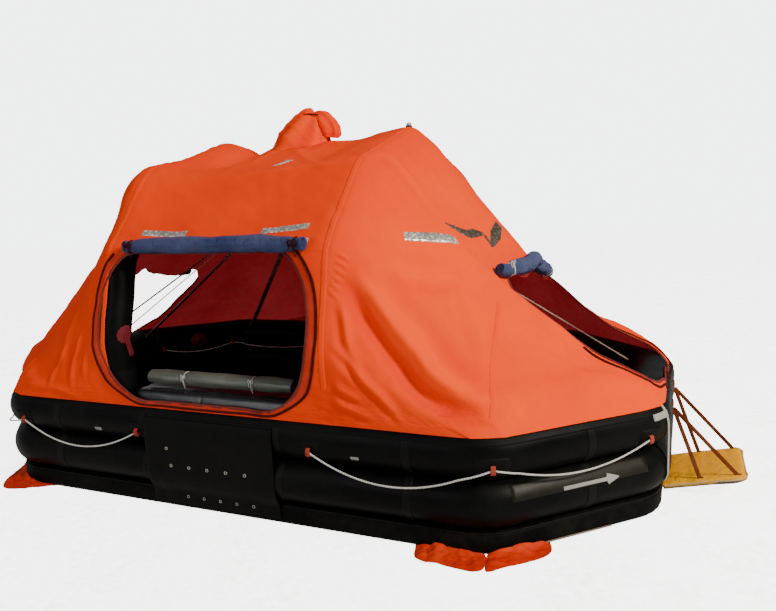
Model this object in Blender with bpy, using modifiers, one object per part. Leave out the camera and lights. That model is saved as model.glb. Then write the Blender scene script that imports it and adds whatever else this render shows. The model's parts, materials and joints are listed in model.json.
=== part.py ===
"""Inflatable davit-launched life raft: two stacked tubes on a thick floor, two arches and a canopy.

Frame: X runs along the raft, Y across it (the side door faces -Y), Z up, ground at z = 0. Metres.
"""

import math

import bmesh
import bpy
import numpy as np
from mathutils import Matrix, Vector
from mathutils.bvhtree import BVHTree

# Clearance between pieces that touch.
GAP = 0.0003

# Main tubes: an octagon with 45 degree corners, measured on the tube's centre line.
TUBE_R = 0.150
HALF_WIDTH = 1.325
SIDE_HALF = 1.651
CHAMFER = 0.733
END_HALF = HALF_WIDTH - CHAMFER
HALF_LENGTH = SIDE_HALF + CHAMFER
CORNER_R = 0.25
CORNER_STEPS = 3
TUBE_SPACING = 0.270
TUBE_SQUASH = 0.005

# Floor: a thick inflated slab under the lower tube.
FLOOR_H = 0.125
FLOOR_PROUD = 0.100
FLOOR_EDGE = 0.030
LOWER_Z = FLOOR_H + TUBE_R - TUBE_SQUASH
UPPER_Z = LOWER_Z + TUBE_SPACING

# Arches that hold the canopy up.
ARCH_X = 0.780
ARCH_R = 0.100
ARCH_BEND = 0.12
ARCH_FOOT_DROP = 0.05

# Canopy: the outer face's half section over an arch, (distance from centre line, height).
CANOPY_T = 0.008
CANOPY_LIFT = 0.0012
RIM_SPREAD = (TUBE_R + GAP) * math.sqrt(0.5)
RIM_Z = UPPER_Z + RIM_SPREAD
RIM_Y = HALF_WIDTH + RIM_SPREAD + CANOPY_T
SECTION = (
    (RIM_Y, RIM_Z),
    (HALF_WIDTH + 0.140, UPPER_Z + 0.530),
    (HALF_WIDTH + 0.005, UPPER_Z + 1.100),
    (HALF_WIDTH - 0.475, UPPER_Z + 1.580),
    (0.0, UPPER_Z + 1.828),
)
SECTION_STEPS_BETWEEN = (1, 1, 1, 2)
SECTION_STEPS = (1, 2, 2, 2)
ROOF_SAG = 0.065
SIDE_SAG = 0.012
# End slopes: share of the way down, how far a ridge sags there, how far the cloth beside the door does.
END_SAGS = (
    (0.2, 0.054, 0.052),
    (0.4, 0.082, 0.092),
    (0.6, 0.082, 0.128),
    (0.8, 0.054, 0.108),
    (1.0, 0.0, 0.0),
)
END_RISER = 0.110
END_LEAN = 0.012
END_START = 0.10
ARC_SLIDE = 0.012
RIM_EASE = 0.0006
CLEAR_DEPTH = 0.16
END_CLEAR_DEPTH = 0.06
DOOR_REACH = 0.35

# Side doorway on the near side: half outline as (x, z).
SIDE_DOOR = (
    (ARCH_X - 0.28, UPPER_Z + 0.15),
    (ARCH_X - 0.10, UPPER_Z + 0.30),
    (ARCH_X - 0.04, UPPER_Z + 0.48),
    (ARCH_X - 0.03, UPPER_Z + 0.74),
    (ARCH_X - 0.08, UPPER_Z + 0.92),
    (ARCH_X - 0.18, UPPER_Z + 1.05),
)

# Doorway in each end slope: half outline seen from above, as (x, half width).
END_DOOR = (
    (HALF_LENGTH - 0.71, END_HALF - 0.34),
    (HALF_LENGTH - 0.76, END_HALF - 0.10),
    (HALF_LENGTH - 0.66, END_HALF - 0.05),
    (HALF_LENGTH - 0.43, END_HALF - 0.06),
    (HALF_LENGTH - 0.17, END_HALF - 0.03),
    (HALF_LENGTH - 0.04, END_HALF - 0.03),
    (HALF_LENGTH + 0.06, END_HALF - 0.09),
    (HALF_LENGTH + 0.09, END_HALF - 0.20),
)

# Door curtains, rolled up and tied above each doorway: size of the roll along its length.
ROLL_R = 0.050
ROLL_SINK = 0.008
ROLL_SHAPE = (0.72, 0.96, 1.0, 1.02, 0.98, 1.0, 1.03, 0.97, 0.72)
SIDE_ROLL = (-ARCH_X + 0.16, ARCH_X - 0.12)
SIDE_ROLL_Z = SIDE_DOOR[-1][1] + 0.062
END_ROLL_X = (HALF_LENGTH - 0.825, HALF_LENGTH - 0.735)
END_ROLL_Y = (-END_HALF - 0.01, END_HALF - 0.13)

# Lifting bridle: a webbing head under the roof, its ring, and straps down to the tubes.
HEAD_R = 0.050
HEAD_H = 0.080
HEAD_Z = UPPER_Z + 1.520
RING_R = 0.055
RING_WIRE = 0.009
STRAP_W = 0.045
STRAP_T = 0.006
FOOT_SIDE = (SIDE_HALF - 0.03, HALF_WIDTH - 0.025)
FOOT_END = (HALF_LENGTH, END_HALF - 0.09)
BRIDLE_FEET = (
    # name, foot, side of x, side of y, height of its top end over the head's middle
    ("near_left", FOOT_SIDE, -1, -1, 0.012),
    ("near_right", FOOT_SIDE, 1, -1, 0.012),
    ("far_left", FOOT_SIDE, -1, 1, -0.024),
    ("far_right", FOOT_SIDE, 1, 1, -0.024),
    ("end_left_near", FOOT_END, -1, -1, -0.024),
    ("end_left_far", FOOT_END, -1, 1, 0.012),
    ("end_right_near", FOOT_END, 1, -1, -0.024),
    ("end_right_far", FOOT_END, 1, 1, 0.012),
)

# Hoist sleeve gathered over the bridle on the roof, and the part of it that flops over:
# (x, height over the roof, radius).
SLEEVE = (
    (-0.040, -0.080, 0.240),
    (-0.040, 0.005, 0.222),
    (-0.020, 0.070, 0.172),
    (0.000, 0.140, 0.128),
    (0.012, 0.210, 0.090),
    (0.018, 0.262, 0.064),
)
SLEEVE_FLAP = (
    (0.020, 0.205, 0.040),
    (0.075, 0.196, 0.054),
    (0.130, 0.150, 0.066),
    (0.160, 0.095, 0.058),
    (0.130, 0.052, 0.040),
)

# Lifelines: bights that hang outside, from one fixing to the next along the tube.
ROPE_R = 0.007
LINE_Z = UPPER_Z - 0.050
LINE_SAG = 0.135
LINE_STEPS = 10
LINE_ENDS = (SIDE_HALF - 1.03, SIDE_HALF + 0.07, SIDE_HALF + CHAMFER * math.sqrt(2.0) - 0.028)
INNER_END = SIDE_HALF - 0.15
INNER_FIXINGS = (-INNER_END, -INNER_END / 3, INNER_END / 3, INNER_END)
INNER_SAG = 0.090
INNER_STEPS = 7
LUG_PROUD = 0.008
LUG_SIZE = (0.010, 0.030)
LUG_EASE = 0.0009

# Boarding ramp at the right end: it slopes up and out from the floor's edge.
RAMP_LENGTH = 0.490
RAMP_T = 0.040
RAMP_HALF = 0.260
RAMP_Y = -0.040
RAMP_X = HALF_LENGTH + FLOOR_PROUD - 0.014
RAMP_Z = 0.030
RAMP_TILT = math.radians(13.0)
RAMP_ROUND = 0.016

# Straps that hold the ramp: where they leave the upper tube, and where they meet the ramp.
RAMP_TIE_Z = UPPER_Z - 0.014
RAMP_TIE_X = HALF_LENGTH + TUBE_R - 0.002
RAMP_TIE_W = 0.030
RAMP_PAD = (0.010, 0.040, 0.042)
RAMP_TIES = (
    # name, y on the tube, y on the ramp from its middle
    ("near", -0.255, -0.235),
    ("far", 0.215, 0.225),
)
RAMP_TIE_PLACES = (0.235, 0.445)

# Sill: the lower curtain of the side door, folded on the tube. Section as (y, z).
SILL_HALF = ARCH_X - 0.165
SILL = (
    (-HALF_WIDTH - 0.085, UPPER_Z + 0.090),
    (-HALF_WIDTH - 0.088, UPPER_Z + 0.170),
    (-HALF_WIDTH - 0.030, UPPER_Z + 0.205),
    (-HALF_WIDTH + 0.100, UPPER_Z + 0.205),
    (-HALF_WIDTH + 0.130, UPPER_Z + 0.160),
    (-HALF_WIDTH + 0.120, UPPER_Z + 0.070),
)
SILL_ROUND = 0.018

# Rolled bundle tied on the sill.
BUNDLE_R = 0.055
BUNDLE_X = (-ARCH_X + 0.20, ARCH_X - 0.30)
BUNDLE_Y = -HALF_WIDTH + 0.050
BUNDLE_SINK = 0.004
BUNDLE_SHAPE = (0.82, 1.0, 0.93, 1.0, 1.02, 0.98, 0.92, 1.0, 0.80)

# Canopy lamp on the right arch.
LAMP_R = 0.024
LAMP_H = 0.034

# Water pockets lying slack on the ground: corners from the tube's corner (x, y), thickness.
POCKET_T = 0.030
POCKETS = (
    ("left", -1, ((-0.30, 0.05), (0.07, 0.235), (0.38, -0.19), (0.20, -0.20), (0.00, 0.03))),
    ("mid", 1, ((-0.39, 0.045), (-0.33, 0.225), (-0.16, 0.265), (0.02, 0.235), (-0.02, 0.045))),
    ("right", 1, ((0.01, 0.045), (0.05, 0.232), (0.13, 0.165), (0.32, -0.080), (0.27, -0.235))),
)
POCKET_SIDES = (("near", -1, ("left", "mid", "right")), ("far", 1, ("left", "right")))

COLOURS = {
    "tube_rubber": ((0.018, 0.020, 0.022), 0.62, 0.0),
    "floor_rubber": ((0.030, 0.031, 0.030), 0.70, 0.0),
    "canopy_fabric": ((0.86, 0.15, 0.03), 0.72, 0.0),
    "curtain_fabric": ((0.10, 0.16, 0.24), 0.75, 0.0),
    "webbing": ((0.55, 0.53, 0.48), 0.85, 0.0),
    "strap_webbing": ((0.50, 0.17, 0.04), 0.85, 0.0),
    "rope": ((0.82, 0.81, 0.76), 0.80, 0.0),
    "ramp_fabric": ((0.86, 0.52, 0.05), 0.62, 0.0),
    "bundle_fabric": ((0.33, 0.34, 0.34), 0.80, 0.0),
    "sill_fabric": ((0.020, 0.022, 0.028), 0.60, 0.0),
    "pocket_fabric": ((0.85, 0.20, 0.04), 0.75, 0.0),
    "steel": ((0.60, 0.61, 0.62), 0.30, 1.0),
    "lamp_plastic": ((0.10, 0.11, 0.12), 0.40, 0.0),
}


def clear_scene():
    for old in list(bpy.data.objects):
        bpy.data.objects.remove(old, do_unlink=True)


def helper_collection():
    group = bpy.data.collections.new("cutters")
    group.hide_render = True
    bpy.context.scene.collection.children.link(group)
    return group


def make_materials():
    made = {}
    for name, (colour, roughness, metallic) in COLOURS.items():
        material = bpy.data.materials.new(name)
        material.use_nodes = True
        shader = material.node_tree.nodes["Principled BSDF"]
        shader.inputs["Base Color"].default_value = (*colour, 1.0)
        shader.inputs["Roughness"].default_value = roughness
        shader.inputs["Metallic"].default_value = metallic
        material.diffuse_color = (*colour, 1.0)
        made[name] = material
    return made


def place(obj, material=None):
    """Links a node with its material, or a cutter when no material is given."""
    if material is None:
        obj.hide_render = True
        obj.display_type = "WIRE"
        CUTTERS.objects.link(obj)
        return obj
    obj.data.materials.append(MATERIALS[material])
    bpy.context.scene.collection.objects.link(obj)
    return obj


def mesh_object(name, points, faces, material=None):
    mesh = bpy.data.meshes.new(name)
    mesh.from_pydata([tuple(map(float, p)) for p in points], [], faces)
    work = bmesh.new()
    work.from_mesh(mesh)
    bmesh.ops.remove_doubles(work, verts=work.verts, dist=0.00005)
    bmesh.ops.recalc_face_normals(work, faces=work.faces)
    work.to_mesh(mesh)
    work.free()
    return place(bpy.data.objects.new(name, mesh), material)


def curve_mesh(name, points, radius, cyclic=False, resolution=4, radii=None):
    """A round bar along a polyline, as a mesh."""
    curve = bpy.data.curves.new(name, "CURVE")
    curve.dimensions = "3D"
    curve.bevel_depth = radius
    curve.bevel_resolution = resolution
    curve.use_fill_caps = not cyclic
    spline = curve.splines.new("POLY")
    spline.points.add(len(points) - 1)
    for number, point in enumerate(points):
        spline.points[number].co = (*map(float, point), 1.0)
        if radii is not None:
            spline.points[number].radius = float(radii[number])
    spline.use_cyclic_u = cyclic
    guide = bpy.data.objects.new(name + "_guide", curve)
    bpy.context.scene.collection.objects.link(guide)
    graph = bpy.context.evaluated_depsgraph_get()
    mesh = bpy.data.meshes.new_from_object(guide.evaluated_get(graph))
    bpy.data.objects.remove(guide, do_unlink=True)
    work = bmesh.new()
    work.from_mesh(mesh)
    bmesh.ops.remove_doubles(work, verts=work.verts, dist=0.00005)
    bmesh.ops.recalc_face_normals(work, faces=work.faces)
    work.to_mesh(mesh)
    work.free()
    mesh.name = name
    return mesh


def tube(name, points, radius, material=None, **options):
    mesh = curve_mesh(name, points, radius, **options)
    return place(bpy.data.objects.new(name, mesh), material)


def box(name, low, high, material=None):
    mesh = bpy.data.meshes.new(name)
    work = bmesh.new()
    bmesh.ops.create_cube(work, size=1.0)
    size = [b - a for a, b in zip(low, high)]
    centre = [(a + b) / 2 for a, b in zip(low, high)]
    bmesh.ops.scale(work, vec=size, verts=work.verts)
    bmesh.ops.translate(work, vec=centre, verts=work.verts)
    work.to_mesh(mesh)
    work.free()
    return place(bpy.data.objects.new(name, mesh), material)


def prism(name, outline, low, high, material=None, upright=False):
    """A straight prism on an outline of (x, y), or of (x, z) and running along y when upright."""
    count = len(outline)
    if upright:
        points = [(a, low, b) for a, b in outline] + [(a, high, b) for a, b in outline]
    else:
        points = [(a, b, low) for a, b in outline] + [(a, b, high) for a, b in outline]
    faces = [tuple(range(count)), tuple(range(count, 2 * count))]
    for i in range(count):
        j = (i + 1) % count
        faces.append((i, j, count + j, count + i))
    return mesh_object(name, points, faces, material)


def cut(obj, *cutters):
    for cutter in cutters:
        modifier = obj.modifiers.new("cut_" + cutter.name, "BOOLEAN")
        modifier.operation = "DIFFERENCE"
        modifier.solver = "EXACT"
        modifier.object = cutter


def join(obj, *others):
    for other in others:
        modifier = obj.modifiers.new("join_" + other.name, "BOOLEAN")
        modifier.operation = "UNION"
        modifier.solver = "EXACT"
        modifier.object = other


def round_edges(obj, width, segments=3, angle=40.0):
    modifier = obj.modifiers.new("round", "BEVEL")
    modifier.width = width
    modifier.segments = segments
    modifier.limit_method = "ANGLE"
    modifier.angle_limit = math.radians(angle)


def fillet(before, corner, after, radius, steps):
    """Points of the arc that rounds one corner of a flat polyline."""
    a, c, b = (np.asarray(p, float) for p in (before, corner, after))
    u, w = a - c, b - c
    u, w = u / np.linalg.norm(u), w / np.linalg.norm(w)
    half = math.acos(float(np.clip(u @ w, -1.0, 1.0))) / 2
    reach = radius / math.tan(half)
    centre = c + (u + w) / np.linalg.norm(u + w) * radius / math.sin(half)
    start, end = c + u * reach - centre, c + w * reach - centre
    sweep = math.pi - 2 * half
    found = []
    for i in range(steps + 1):
        t = i / steps
        mix = math.sin((1 - t) * sweep) * start + math.sin(t * sweep) * end
        found.append(centre + mix / math.sin(sweep))
    return found


def octagon(out=0.0):
    """Corners of the tubes' plan, moved outward by a distance, going round from the near right side."""
    side = SIDE_HALF + out * math.tan(math.pi / 8)
    end = END_HALF + out * math.tan(math.pi / 8)
    width, length = HALF_WIDTH + out, HALF_LENGTH + out
    half = [(-side, -width), (side, -width), (length, -end), (length, end)]
    return half + [(-x, -y) for x, y in half]


def rounded_octagon(out=0.0):
    corners = octagon(out)
    count = len(corners)
    path = []
    for i, corner in enumerate(corners):
        path += fillet(
            corners[i - 1], corner, corners[(i + 1) % count], CORNER_R + out, CORNER_STEPS
        )
    return [np.array((x, y)) for x, y in path]


def arch_path():
    """(centre points, outward normals, index of each section corner) of an arch, from near to far."""
    corners = [np.array((-y, z)) for y, z in SECTION]
    whole = corners + [np.array((-p[0], p[1])) for p in reversed(corners[:-1])]
    inset = CANOPY_T + CANOPY_LIFT + ARCH_R
    tangents = [b - a for a, b in zip(whole, whole[1:])]
    tangents = [t / np.linalg.norm(t) for t in tangents]
    normals = [np.array((-t[1], t[0])) for t in tangents]
    inner = [whole[0] - normals[0] * inset]
    for i in range(1, len(whole) - 1):
        bisector = normals[i - 1] + normals[i]
        bisector = bisector / np.linalg.norm(bisector)
        inner.append(whole[i] - bisector * inset / (bisector @ normals[i]))
    inner.append(whole[-1] - normals[-1] * inset)
    steps = list(SECTION_STEPS) + list(reversed(SECTION_STEPS[:-1]))
    mids = list(SECTION_STEPS_BETWEEN) + list(reversed(SECTION_STEPS_BETWEEN))
    path, facing, marks = [inner[0]], [normals[0]], [0]
    for i in range(1, len(inner)):
        arc, turned = [inner[i]], [normals[i - 1]]
        if i < len(inner) - 1:
            arc = fillet(inner[i - 1], inner[i], inner[i + 1], ARCH_BEND, steps[i - 1])
            turned = []
            for k in range(len(arc)):
                n = normals[i - 1] * (1 - k / steps[i - 1]) + normals[i] * k / steps[i - 1]
                turned.append(n / np.linalg.norm(n))
        for k in range(1, mids[i - 1] + 1):
            share = k / (mids[i - 1] + 1)
            path.append(path[-1] * 0 + start_of(path, marks) * (1 - share) + arc[0] * share)
            facing.append(normals[i - 1])
        path += arc
        facing += turned
        marks.append(len(path) - 1)
    return np.array(path), np.array(facing), marks


def start_of(path, marks):
    """The last point of the section corner before this one."""
    return path[marks[-1]]


def rim_half():
    """Rim points of the right end of the canopy from near to centre, as (x, y), with outward normals."""
    out = RIM_SPREAD + CANOPY_T
    corners = octagon(out)
    near_arc = fillet(corners[0], corners[1], corners[2], CORNER_R + out, CORNER_STEPS)
    end_arc = fillet(corners[1], corners[2], corners[3], CORNER_R + out, CORNER_STEPS)
    points = [np.array((ARCH_X + END_START, -HALF_WIDTH - out))]
    normals = [np.array((0.0, -1.0))]
    for arc, first in ((near_arc, -90.0), (end_arc, -45.0)):
        if first > -90.0:
            points.append((points[-1] + arc[0]) / 2)
            normals.append(np.array((math.sqrt(0.5), -math.sqrt(0.5))))
        for k, point in enumerate(arc):
            angle = math.radians(first + 45.0 * k / CORNER_STEPS)
            points.append(np.array(point))
            normals.append(np.array((math.cos(angle), math.sin(angle))))
    return points, normals


def end_grid(lift=0.0, depth=CANOPY_T):
    """Outer and inner points of the right end of the canopy: rows along the arch, columns out to the rim."""
    path, facing, _ = arch_path()
    middle = len(path) // 2
    rim, rim_out = rim_half()
    start = len(rim)
    last_y = rim[-1][1]
    for i in range(start, middle + 1):
        share = (i - start + 1) / (middle - start + 1)
        rim.append(np.array((HALF_LENGTH + RIM_SPREAD + CANOPY_T, last_y * (1 - share))))
        rim_out.append(np.array((1.0, 0.0)))
    rim += [np.array((p[0], -p[1])) for p in reversed(rim[:-1])]
    rim_out += [np.array((p[0], -p[1])) for p in reversed(rim_out[:-1])]
    outer, inner = [], []
    for i in range(len(path)):
        centre = np.array((ARCH_X, *path[i]))
        normal = np.array((0.0, *facing[i]))
        tangent = np.array((0.0, facing[i][1], -facing[i][0]))
        foot = np.array((*rim[i], RIM_Z))
        out = np.array((*rim_out[i], 0.0))
        foot = foot + out * RIM_EASE
        side = min(i, len(path) - 1 - i)
        blend = min(1.0, max(0.0, (side - 1) / (start - 1)))
        radius = ARCH_R + CANOPY_LIFT + CANOPY_T
        up = foot + blend * (np.array((0.0, 0.0, END_RISER)) - out * END_LEAN)
        flat = up - centre
        flat = flat - (flat @ tangent) * tangent
        length = np.linalg.norm(flat)
        along = flat / length
        rise = normal - (normal @ along) * along
        rise = rise / np.linalg.norm(rise)
        tilt = along * radius / length + rise * math.sqrt(1 - (radius / length) ** 2)
        touch = centre + tilt * radius
        if blend < 1.0:
            up = up + (1 - blend) * 0.12 * (touch - up)
        row, back = [], []
        turn = math.acos(float(np.clip(normal @ tilt, -1.0, 1.0)))
        for k in range(4):
            if turn < 1e-4:
                direction = normal
            else:
                near, far = math.sin((1 - k / 3) * turn), math.sin(k / 3 * turn)
                direction = (near * normal + far * tilt) / math.sin(turn)
            slide = along - (along @ direction) * direction
            slide = slide * k * ARC_SLIDE * max(0.0, 1.0 - turn / 0.5)
            row.append(centre + direction * (radius + lift) + slide)
            back.append(centre + direction * (radius - depth) + slide)
        touch = row[-1] - tilt * lift
        slack = min(1.0, max(0.0, (side - start + 2) / 2))
        for share, taut, loose in END_SAGS:
            drop = (taut + (loose - taut) * slack) * blend * tilt
            spot = touch + (up - touch) * share - drop
            row.append(spot + tilt * lift)
            back.append(spot - tilt * depth)
        back[-1] = up - (out + tilt) / np.linalg.norm(out + tilt) * depth
        row[-1] = up + (out + tilt) / np.linalg.norm(out + tilt) * lift
        row.append(foot + out * lift)
        back.append(foot - out * depth)
        outer.append(row)
        inner.append(back)
    outer, inner = np.array(outer), np.array(inner)
    outer[:, 0, 0] += GAP / 2
    inner[:, 0, 0] += GAP / 2
    return outer, inner


def middle_grid(first, last, lift=0.0, depth=CANOPY_T):
    """Outer and inner points of the canopy between the arches, rows first to last of the arch's path."""
    path, facing, _ = arch_path()
    across = np.array((-1.0, -0.82, -0.5, -0.18, 0.18, 0.5, 0.82, 1.0)) * (ARCH_X - GAP / 2)
    sag = (1 - (across / ARCH_X) ** 2) ** 2
    outer, inner = [], []
    for i in range(first, last + 1):
        radius = ARCH_R + CANOPY_LIFT + CANOPY_T
        amount = SIDE_SAG + (ROOF_SAG - SIDE_SAG) * max(0.0, facing[i][1]) ** 2
        amount *= min(1.0, min(i, len(path) - 1 - i) / 4)
        spread = radius - sag * amount
        trim = np.array((facing[i][1], -facing[i][0])) * GAP / 2
        shift = trim * ((i == first and first > 0) - (i == last and last < len(path) - 1))
        place_at = path[i] + shift
        for store, offset in ((outer, lift), (inner, -depth)):
            yz = place_at + np.outer(spread + offset, facing[i])
            store.append(np.column_stack((across, yz)))
    return np.array(outer), np.array(inner)


def shell(name, outer, inner, material=None):
    """A closed sheet between two grids of points."""
    rows, columns = outer.shape[:2]
    points = np.concatenate((outer.reshape(-1, 3), inner.reshape(-1, 3)))
    count = rows * columns
    faces = []
    for i in range(rows - 1):
        for j in range(columns - 1):
            a, b = i * columns + j, (i + 1) * columns + j
            faces.append((a, a + 1, b + 1, b))
            faces.append((count + b, count + b + 1, count + a + 1, count + a))
    edge = [j for j in range(columns)]
    edge += [i * columns + columns - 1 for i in range(1, rows)]
    edge += [(rows - 1) * columns + j for j in range(columns - 2, -1, -1)]
    edge += [i * columns for i in range(rows - 2, 0, -1)]
    for a, b in zip(edge, edge[1:] + edge[:1]):
        faces.append((b, a, count + a, count + b))
    sheet = mesh_object(name, points, faces, material)
    work = bmesh.new()
    work.from_mesh(sheet.data)
    bmesh.ops.triangulate(work, faces=work.faces)
    work.to_mesh(sheet.data)
    work.free()
    return sheet


def mirror_x(grid):
    turned = grid.copy()
    turned[..., 0] *= -1
    return turned


def roof_height(x):
    path, facing, _ = arch_path()
    top = path[len(path) // 2][1] + ARCH_R + CANOPY_LIFT + CANOPY_T
    return top - ROOF_SAG * (1 - (x / ARCH_X) ** 2) ** 2


def strap(name, start, end, width, thickness, material):
    """A flat strap between two points, its broad face turned level."""
    a, b = Vector(start), Vector(end)
    along = (b - a).normalized()
    across = along.cross(Vector((0.0, 0.0, 1.0))).normalized()
    up = across.cross(along)
    points = []
    for end_point in (a, b):
        for i, j in ((-1, -1), (1, -1), (1, 1), (-1, 1)):
            points.append(end_point + across * (i * width / 2) + up * (j * thickness / 2))
    faces = [(0, 1, 2, 3), (7, 6, 5, 4)]
    for i in range(4):
        j = (i + 1) % 4
        faces.append((i, i + 4, j + 4, j))
    return mesh_object(name, points, faces, material)


def build_hull():
    outline = [(p[0], p[1]) for p in rounded_octagon(FLOOR_PROUD)]
    floor = prism("floor", outline, 0.0, FLOOR_H, "floor_rubber")
    round_edges(floor, FLOOR_EDGE, 3, 60.0)
    path = rounded_octagon()
    between = (LOWER_Z + UPPER_Z) / 2
    reach = HALF_LENGTH + 2 * TUBE_R
    below = box(
        "cut_below_lower", (-reach, -reach, -0.1), (reach, reach, FLOOR_H + GAP)
    )
    above = box(
        "cut_above_lower", (-reach, -reach, between - GAP / 2), (reach, reach, between + 0.1)
    )
    under = box(
        "cut_below_upper", (-reach, -reach, between - 0.1), (reach, reach, between + GAP / 2)
    )
    for name, height, cutters in (
        ("lower_tube", LOWER_Z, (below, above)),
        ("upper_tube", UPPER_Z, (under,)),
    ):
        points = [(x, y, height) for x, y in path]
        made = tube(name, points, TUBE_R, "tube_rubber", cyclic=True, resolution=6)
        cut(made, *cutters)
        if name == "upper_tube":
            join(made, build_lugs())
    CLEAR["upper"] = tube(
        "upper_clear", [(x, y, UPPER_Z) for x, y in path], TUBE_R + GAP, cyclic=True, resolution=6
    )
    CLEAR["lower"] = tube(
        "lower_clear", [(x, y, LOWER_Z) for x, y in path], TUBE_R + GAP, cyclic=True, resolution=6
    )
    wide = [(p[0], p[1]) for p in rounded_octagon(FLOOR_PROUD + GAP)]
    CLEAR["floor"] = prism("floor_clear", wide, -GAP, FLOOR_H + GAP)
    round_edges(CLEAR["floor"], FLOOR_EDGE, 3, 60.0)


def build_arches():
    path, _, _ = arch_path()
    drop = np.array((0.0, ARCH_FOOT_DROP))
    path = np.vstack((path[:1] - drop, path, path[-1:] - drop))
    for name, x in (("arch_left", -ARCH_X), ("arch_right", ARCH_X)):
        points = [(x, y, z) for y, z in path]
        arch = tube(name, points, ARCH_R, "tube_rubber", resolution=4)
        cut(arch, CLEAR["upper"])


def part_of(outer, inner, first, last):
    """Rows first to last of an end panel, drawn in by half a gap where they meet the next piece."""
    cutout = []
    for grid in (outer, inner):
        piece = grid[first : last + 1].copy()
        for row, beside, meets in ((0, 1, first > 0), (-1, -2, last < len(grid) - 1)):
            if meets:
                step = piece[beside] - piece[row]
                piece[row] += step / np.linalg.norm(step, axis=1)[:, None] * GAP / 2
        cutout.append(piece)
    return cutout


def build_canopy():
    path, _, marks = arch_path()
    shoulder, ridge = marks[3] - 1, marks[2]
    last = len(path) - 1
    side_door = [(x, z) for x, z in SIDE_DOOR] + [(-x, z) for x, z in reversed(SIDE_DOOR)]
    near_hole = prism(
        "side_door_cut", side_door, -RIM_Y - DOOR_REACH, -RIM_Y + DOOR_REACH, upright=True
    )
    for name, first, end in (
        ("canopy_near", 0, shoulder),
        ("canopy_roof", shoulder, last - shoulder),
        ("canopy_far", last - shoulder, last),
    ):
        panel = shell(name, *middle_grid(first, end), "canopy_fabric")
        if name == "canopy_near":
            cut(panel, near_hole)
        CLEAR[name] = shell(name + "_clear", *middle_grid(first, end, GAP, CLEAR_DEPTH))
    outline = [(x, -y) for x, y in END_DOOR] + [(x, y) for x, y in reversed(END_DOOR)]
    outer, inner = end_grid()
    wide, deep = end_grid(GAP, END_CLEAR_DEPTH)
    for word, side in (("right", 1), ("left", -1)):
        hole = prism(
            f"end_{word}_cut", [(side * x, y) for x, y in outline], RIM_Z + 0.05, RIM_Z + 1.15
        )
        turned = (lambda grid: grid) if side > 0 else mirror_x
        for piece, first, end in (
            ("near", 0, ridge),
            ("slope", ridge, last - ridge),
            ("far", last - ridge, last),
        ):
            grids = [turned(grid) for grid in part_of(outer, inner, first, end)]
            cut(shell(f"canopy_{word}_{piece}", *grids, "canopy_fabric"), hole)
        CLEAR["canopy_end_" + word] = shell(f"end_{word}_clear", turned(wide), turned(deep))


def skin_tree(outer):
    """A tree of an outer face, to find where a line meets it."""
    rows, columns = outer.shape[:2]
    points = [Vector(point) for point in outer.reshape(-1, 3)]
    faces = []
    for i in range(rows - 1):
        for j in range(columns - 1):
            a, b = i * columns + j, (i + 1) * columns + j
            faces.append((a, a + 1, b + 1, b))
    return BVHTree.FromPolygons(points, faces)


def lay_on(tree, start, toward, depth):
    """The centre of a roll that lies on the face which a line meets, and is pressed into it by a depth."""
    spot, normal, _, _ = tree.ray_cast(Vector(start), Vector(toward))
    if normal.dot(Vector(toward)) > 0:
        normal = -normal
    return spot + normal * (ROLL_R - depth)


def build_curtains():
    middle, _ = middle_grid(0, len(arch_path()[0]) - 1)
    tree = skin_tree(middle)
    points = [
        lay_on(tree, (x, -3.0 * HALF_WIDTH, SIDE_ROLL_Z), (0.0, 1.0, 0.0), ROLL_SINK)
        for x in np.linspace(*SIDE_ROLL, len(ROLL_SHAPE))
    ]
    roll = tube(
        "door_roll_near", points, ROLL_R, "curtain_fabric", resolution=3, radii=ROLL_SHAPE
    )
    cut(roll, CLEAR["canopy_near"])
    outer, _ = end_grid()
    tree = skin_tree(outer)
    points = []
    for share in np.linspace(0.0, 1.0, len(ROLL_SHAPE)):
        x = END_ROLL_X[0] + (END_ROLL_X[1] - END_ROLL_X[0]) * share
        y = END_ROLL_Y[0] + (END_ROLL_Y[1] - END_ROLL_Y[0]) * share
        points.append(lay_on(tree, (x, y, 3.0 * UPPER_Z + RIM_Z), (0.0, 0.0, -1.0), ROLL_SINK))
    for word, side in (("right", 1), ("left", -1)):
        roll = tube(
            "door_roll_" + word,
            [(side * x, y, z) for x, y, z in points],
            ROLL_R,
            "curtain_fabric",
            resolution=3,
            radii=ROLL_SHAPE,
        )
        cut(roll, CLEAR["canopy_end_" + word])


def build_bridle():
    mesh = bpy.data.meshes.new("bridle_head")
    work = bmesh.new()
    bmesh.ops.create_cone(
        work,
        cap_ends=True,
        segments=16,
        radius1=HEAD_R,
        radius2=HEAD_R,
        depth=HEAD_H,
        matrix=Matrix.Translation((0.0, 0.0, HEAD_Z)),
    )
    work.to_mesh(mesh)
    work.free()
    place(bpy.data.objects.new("bridle_head", mesh), "webbing")
    ring_z = HEAD_Z + HEAD_H / 2 + GAP + RING_R + RING_WIRE
    around = [math.radians(a) for a in range(0, 360, 18)]
    points = [(RING_R * math.cos(a), 0.0, ring_z + RING_R * math.sin(a)) for a in around]
    tube("lifting_ring", points, RING_WIRE, "steel", cyclic=True, resolution=2)
    for name, foot, side_x, side_y, lift in BRIDLE_FEET:
        x, y = side_x * foot[0], side_y * foot[1]
        away = math.hypot(x, y)
        start = (HEAD_R * x / away, HEAD_R * y / away, HEAD_Z + lift)
        made = strap("bridle_strap_" + name, start, (x, y, UPPER_Z), STRAP_W, STRAP_T, "webbing")
        cut(made, CLEAR["upper"], CLEAR["head"])


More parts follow.
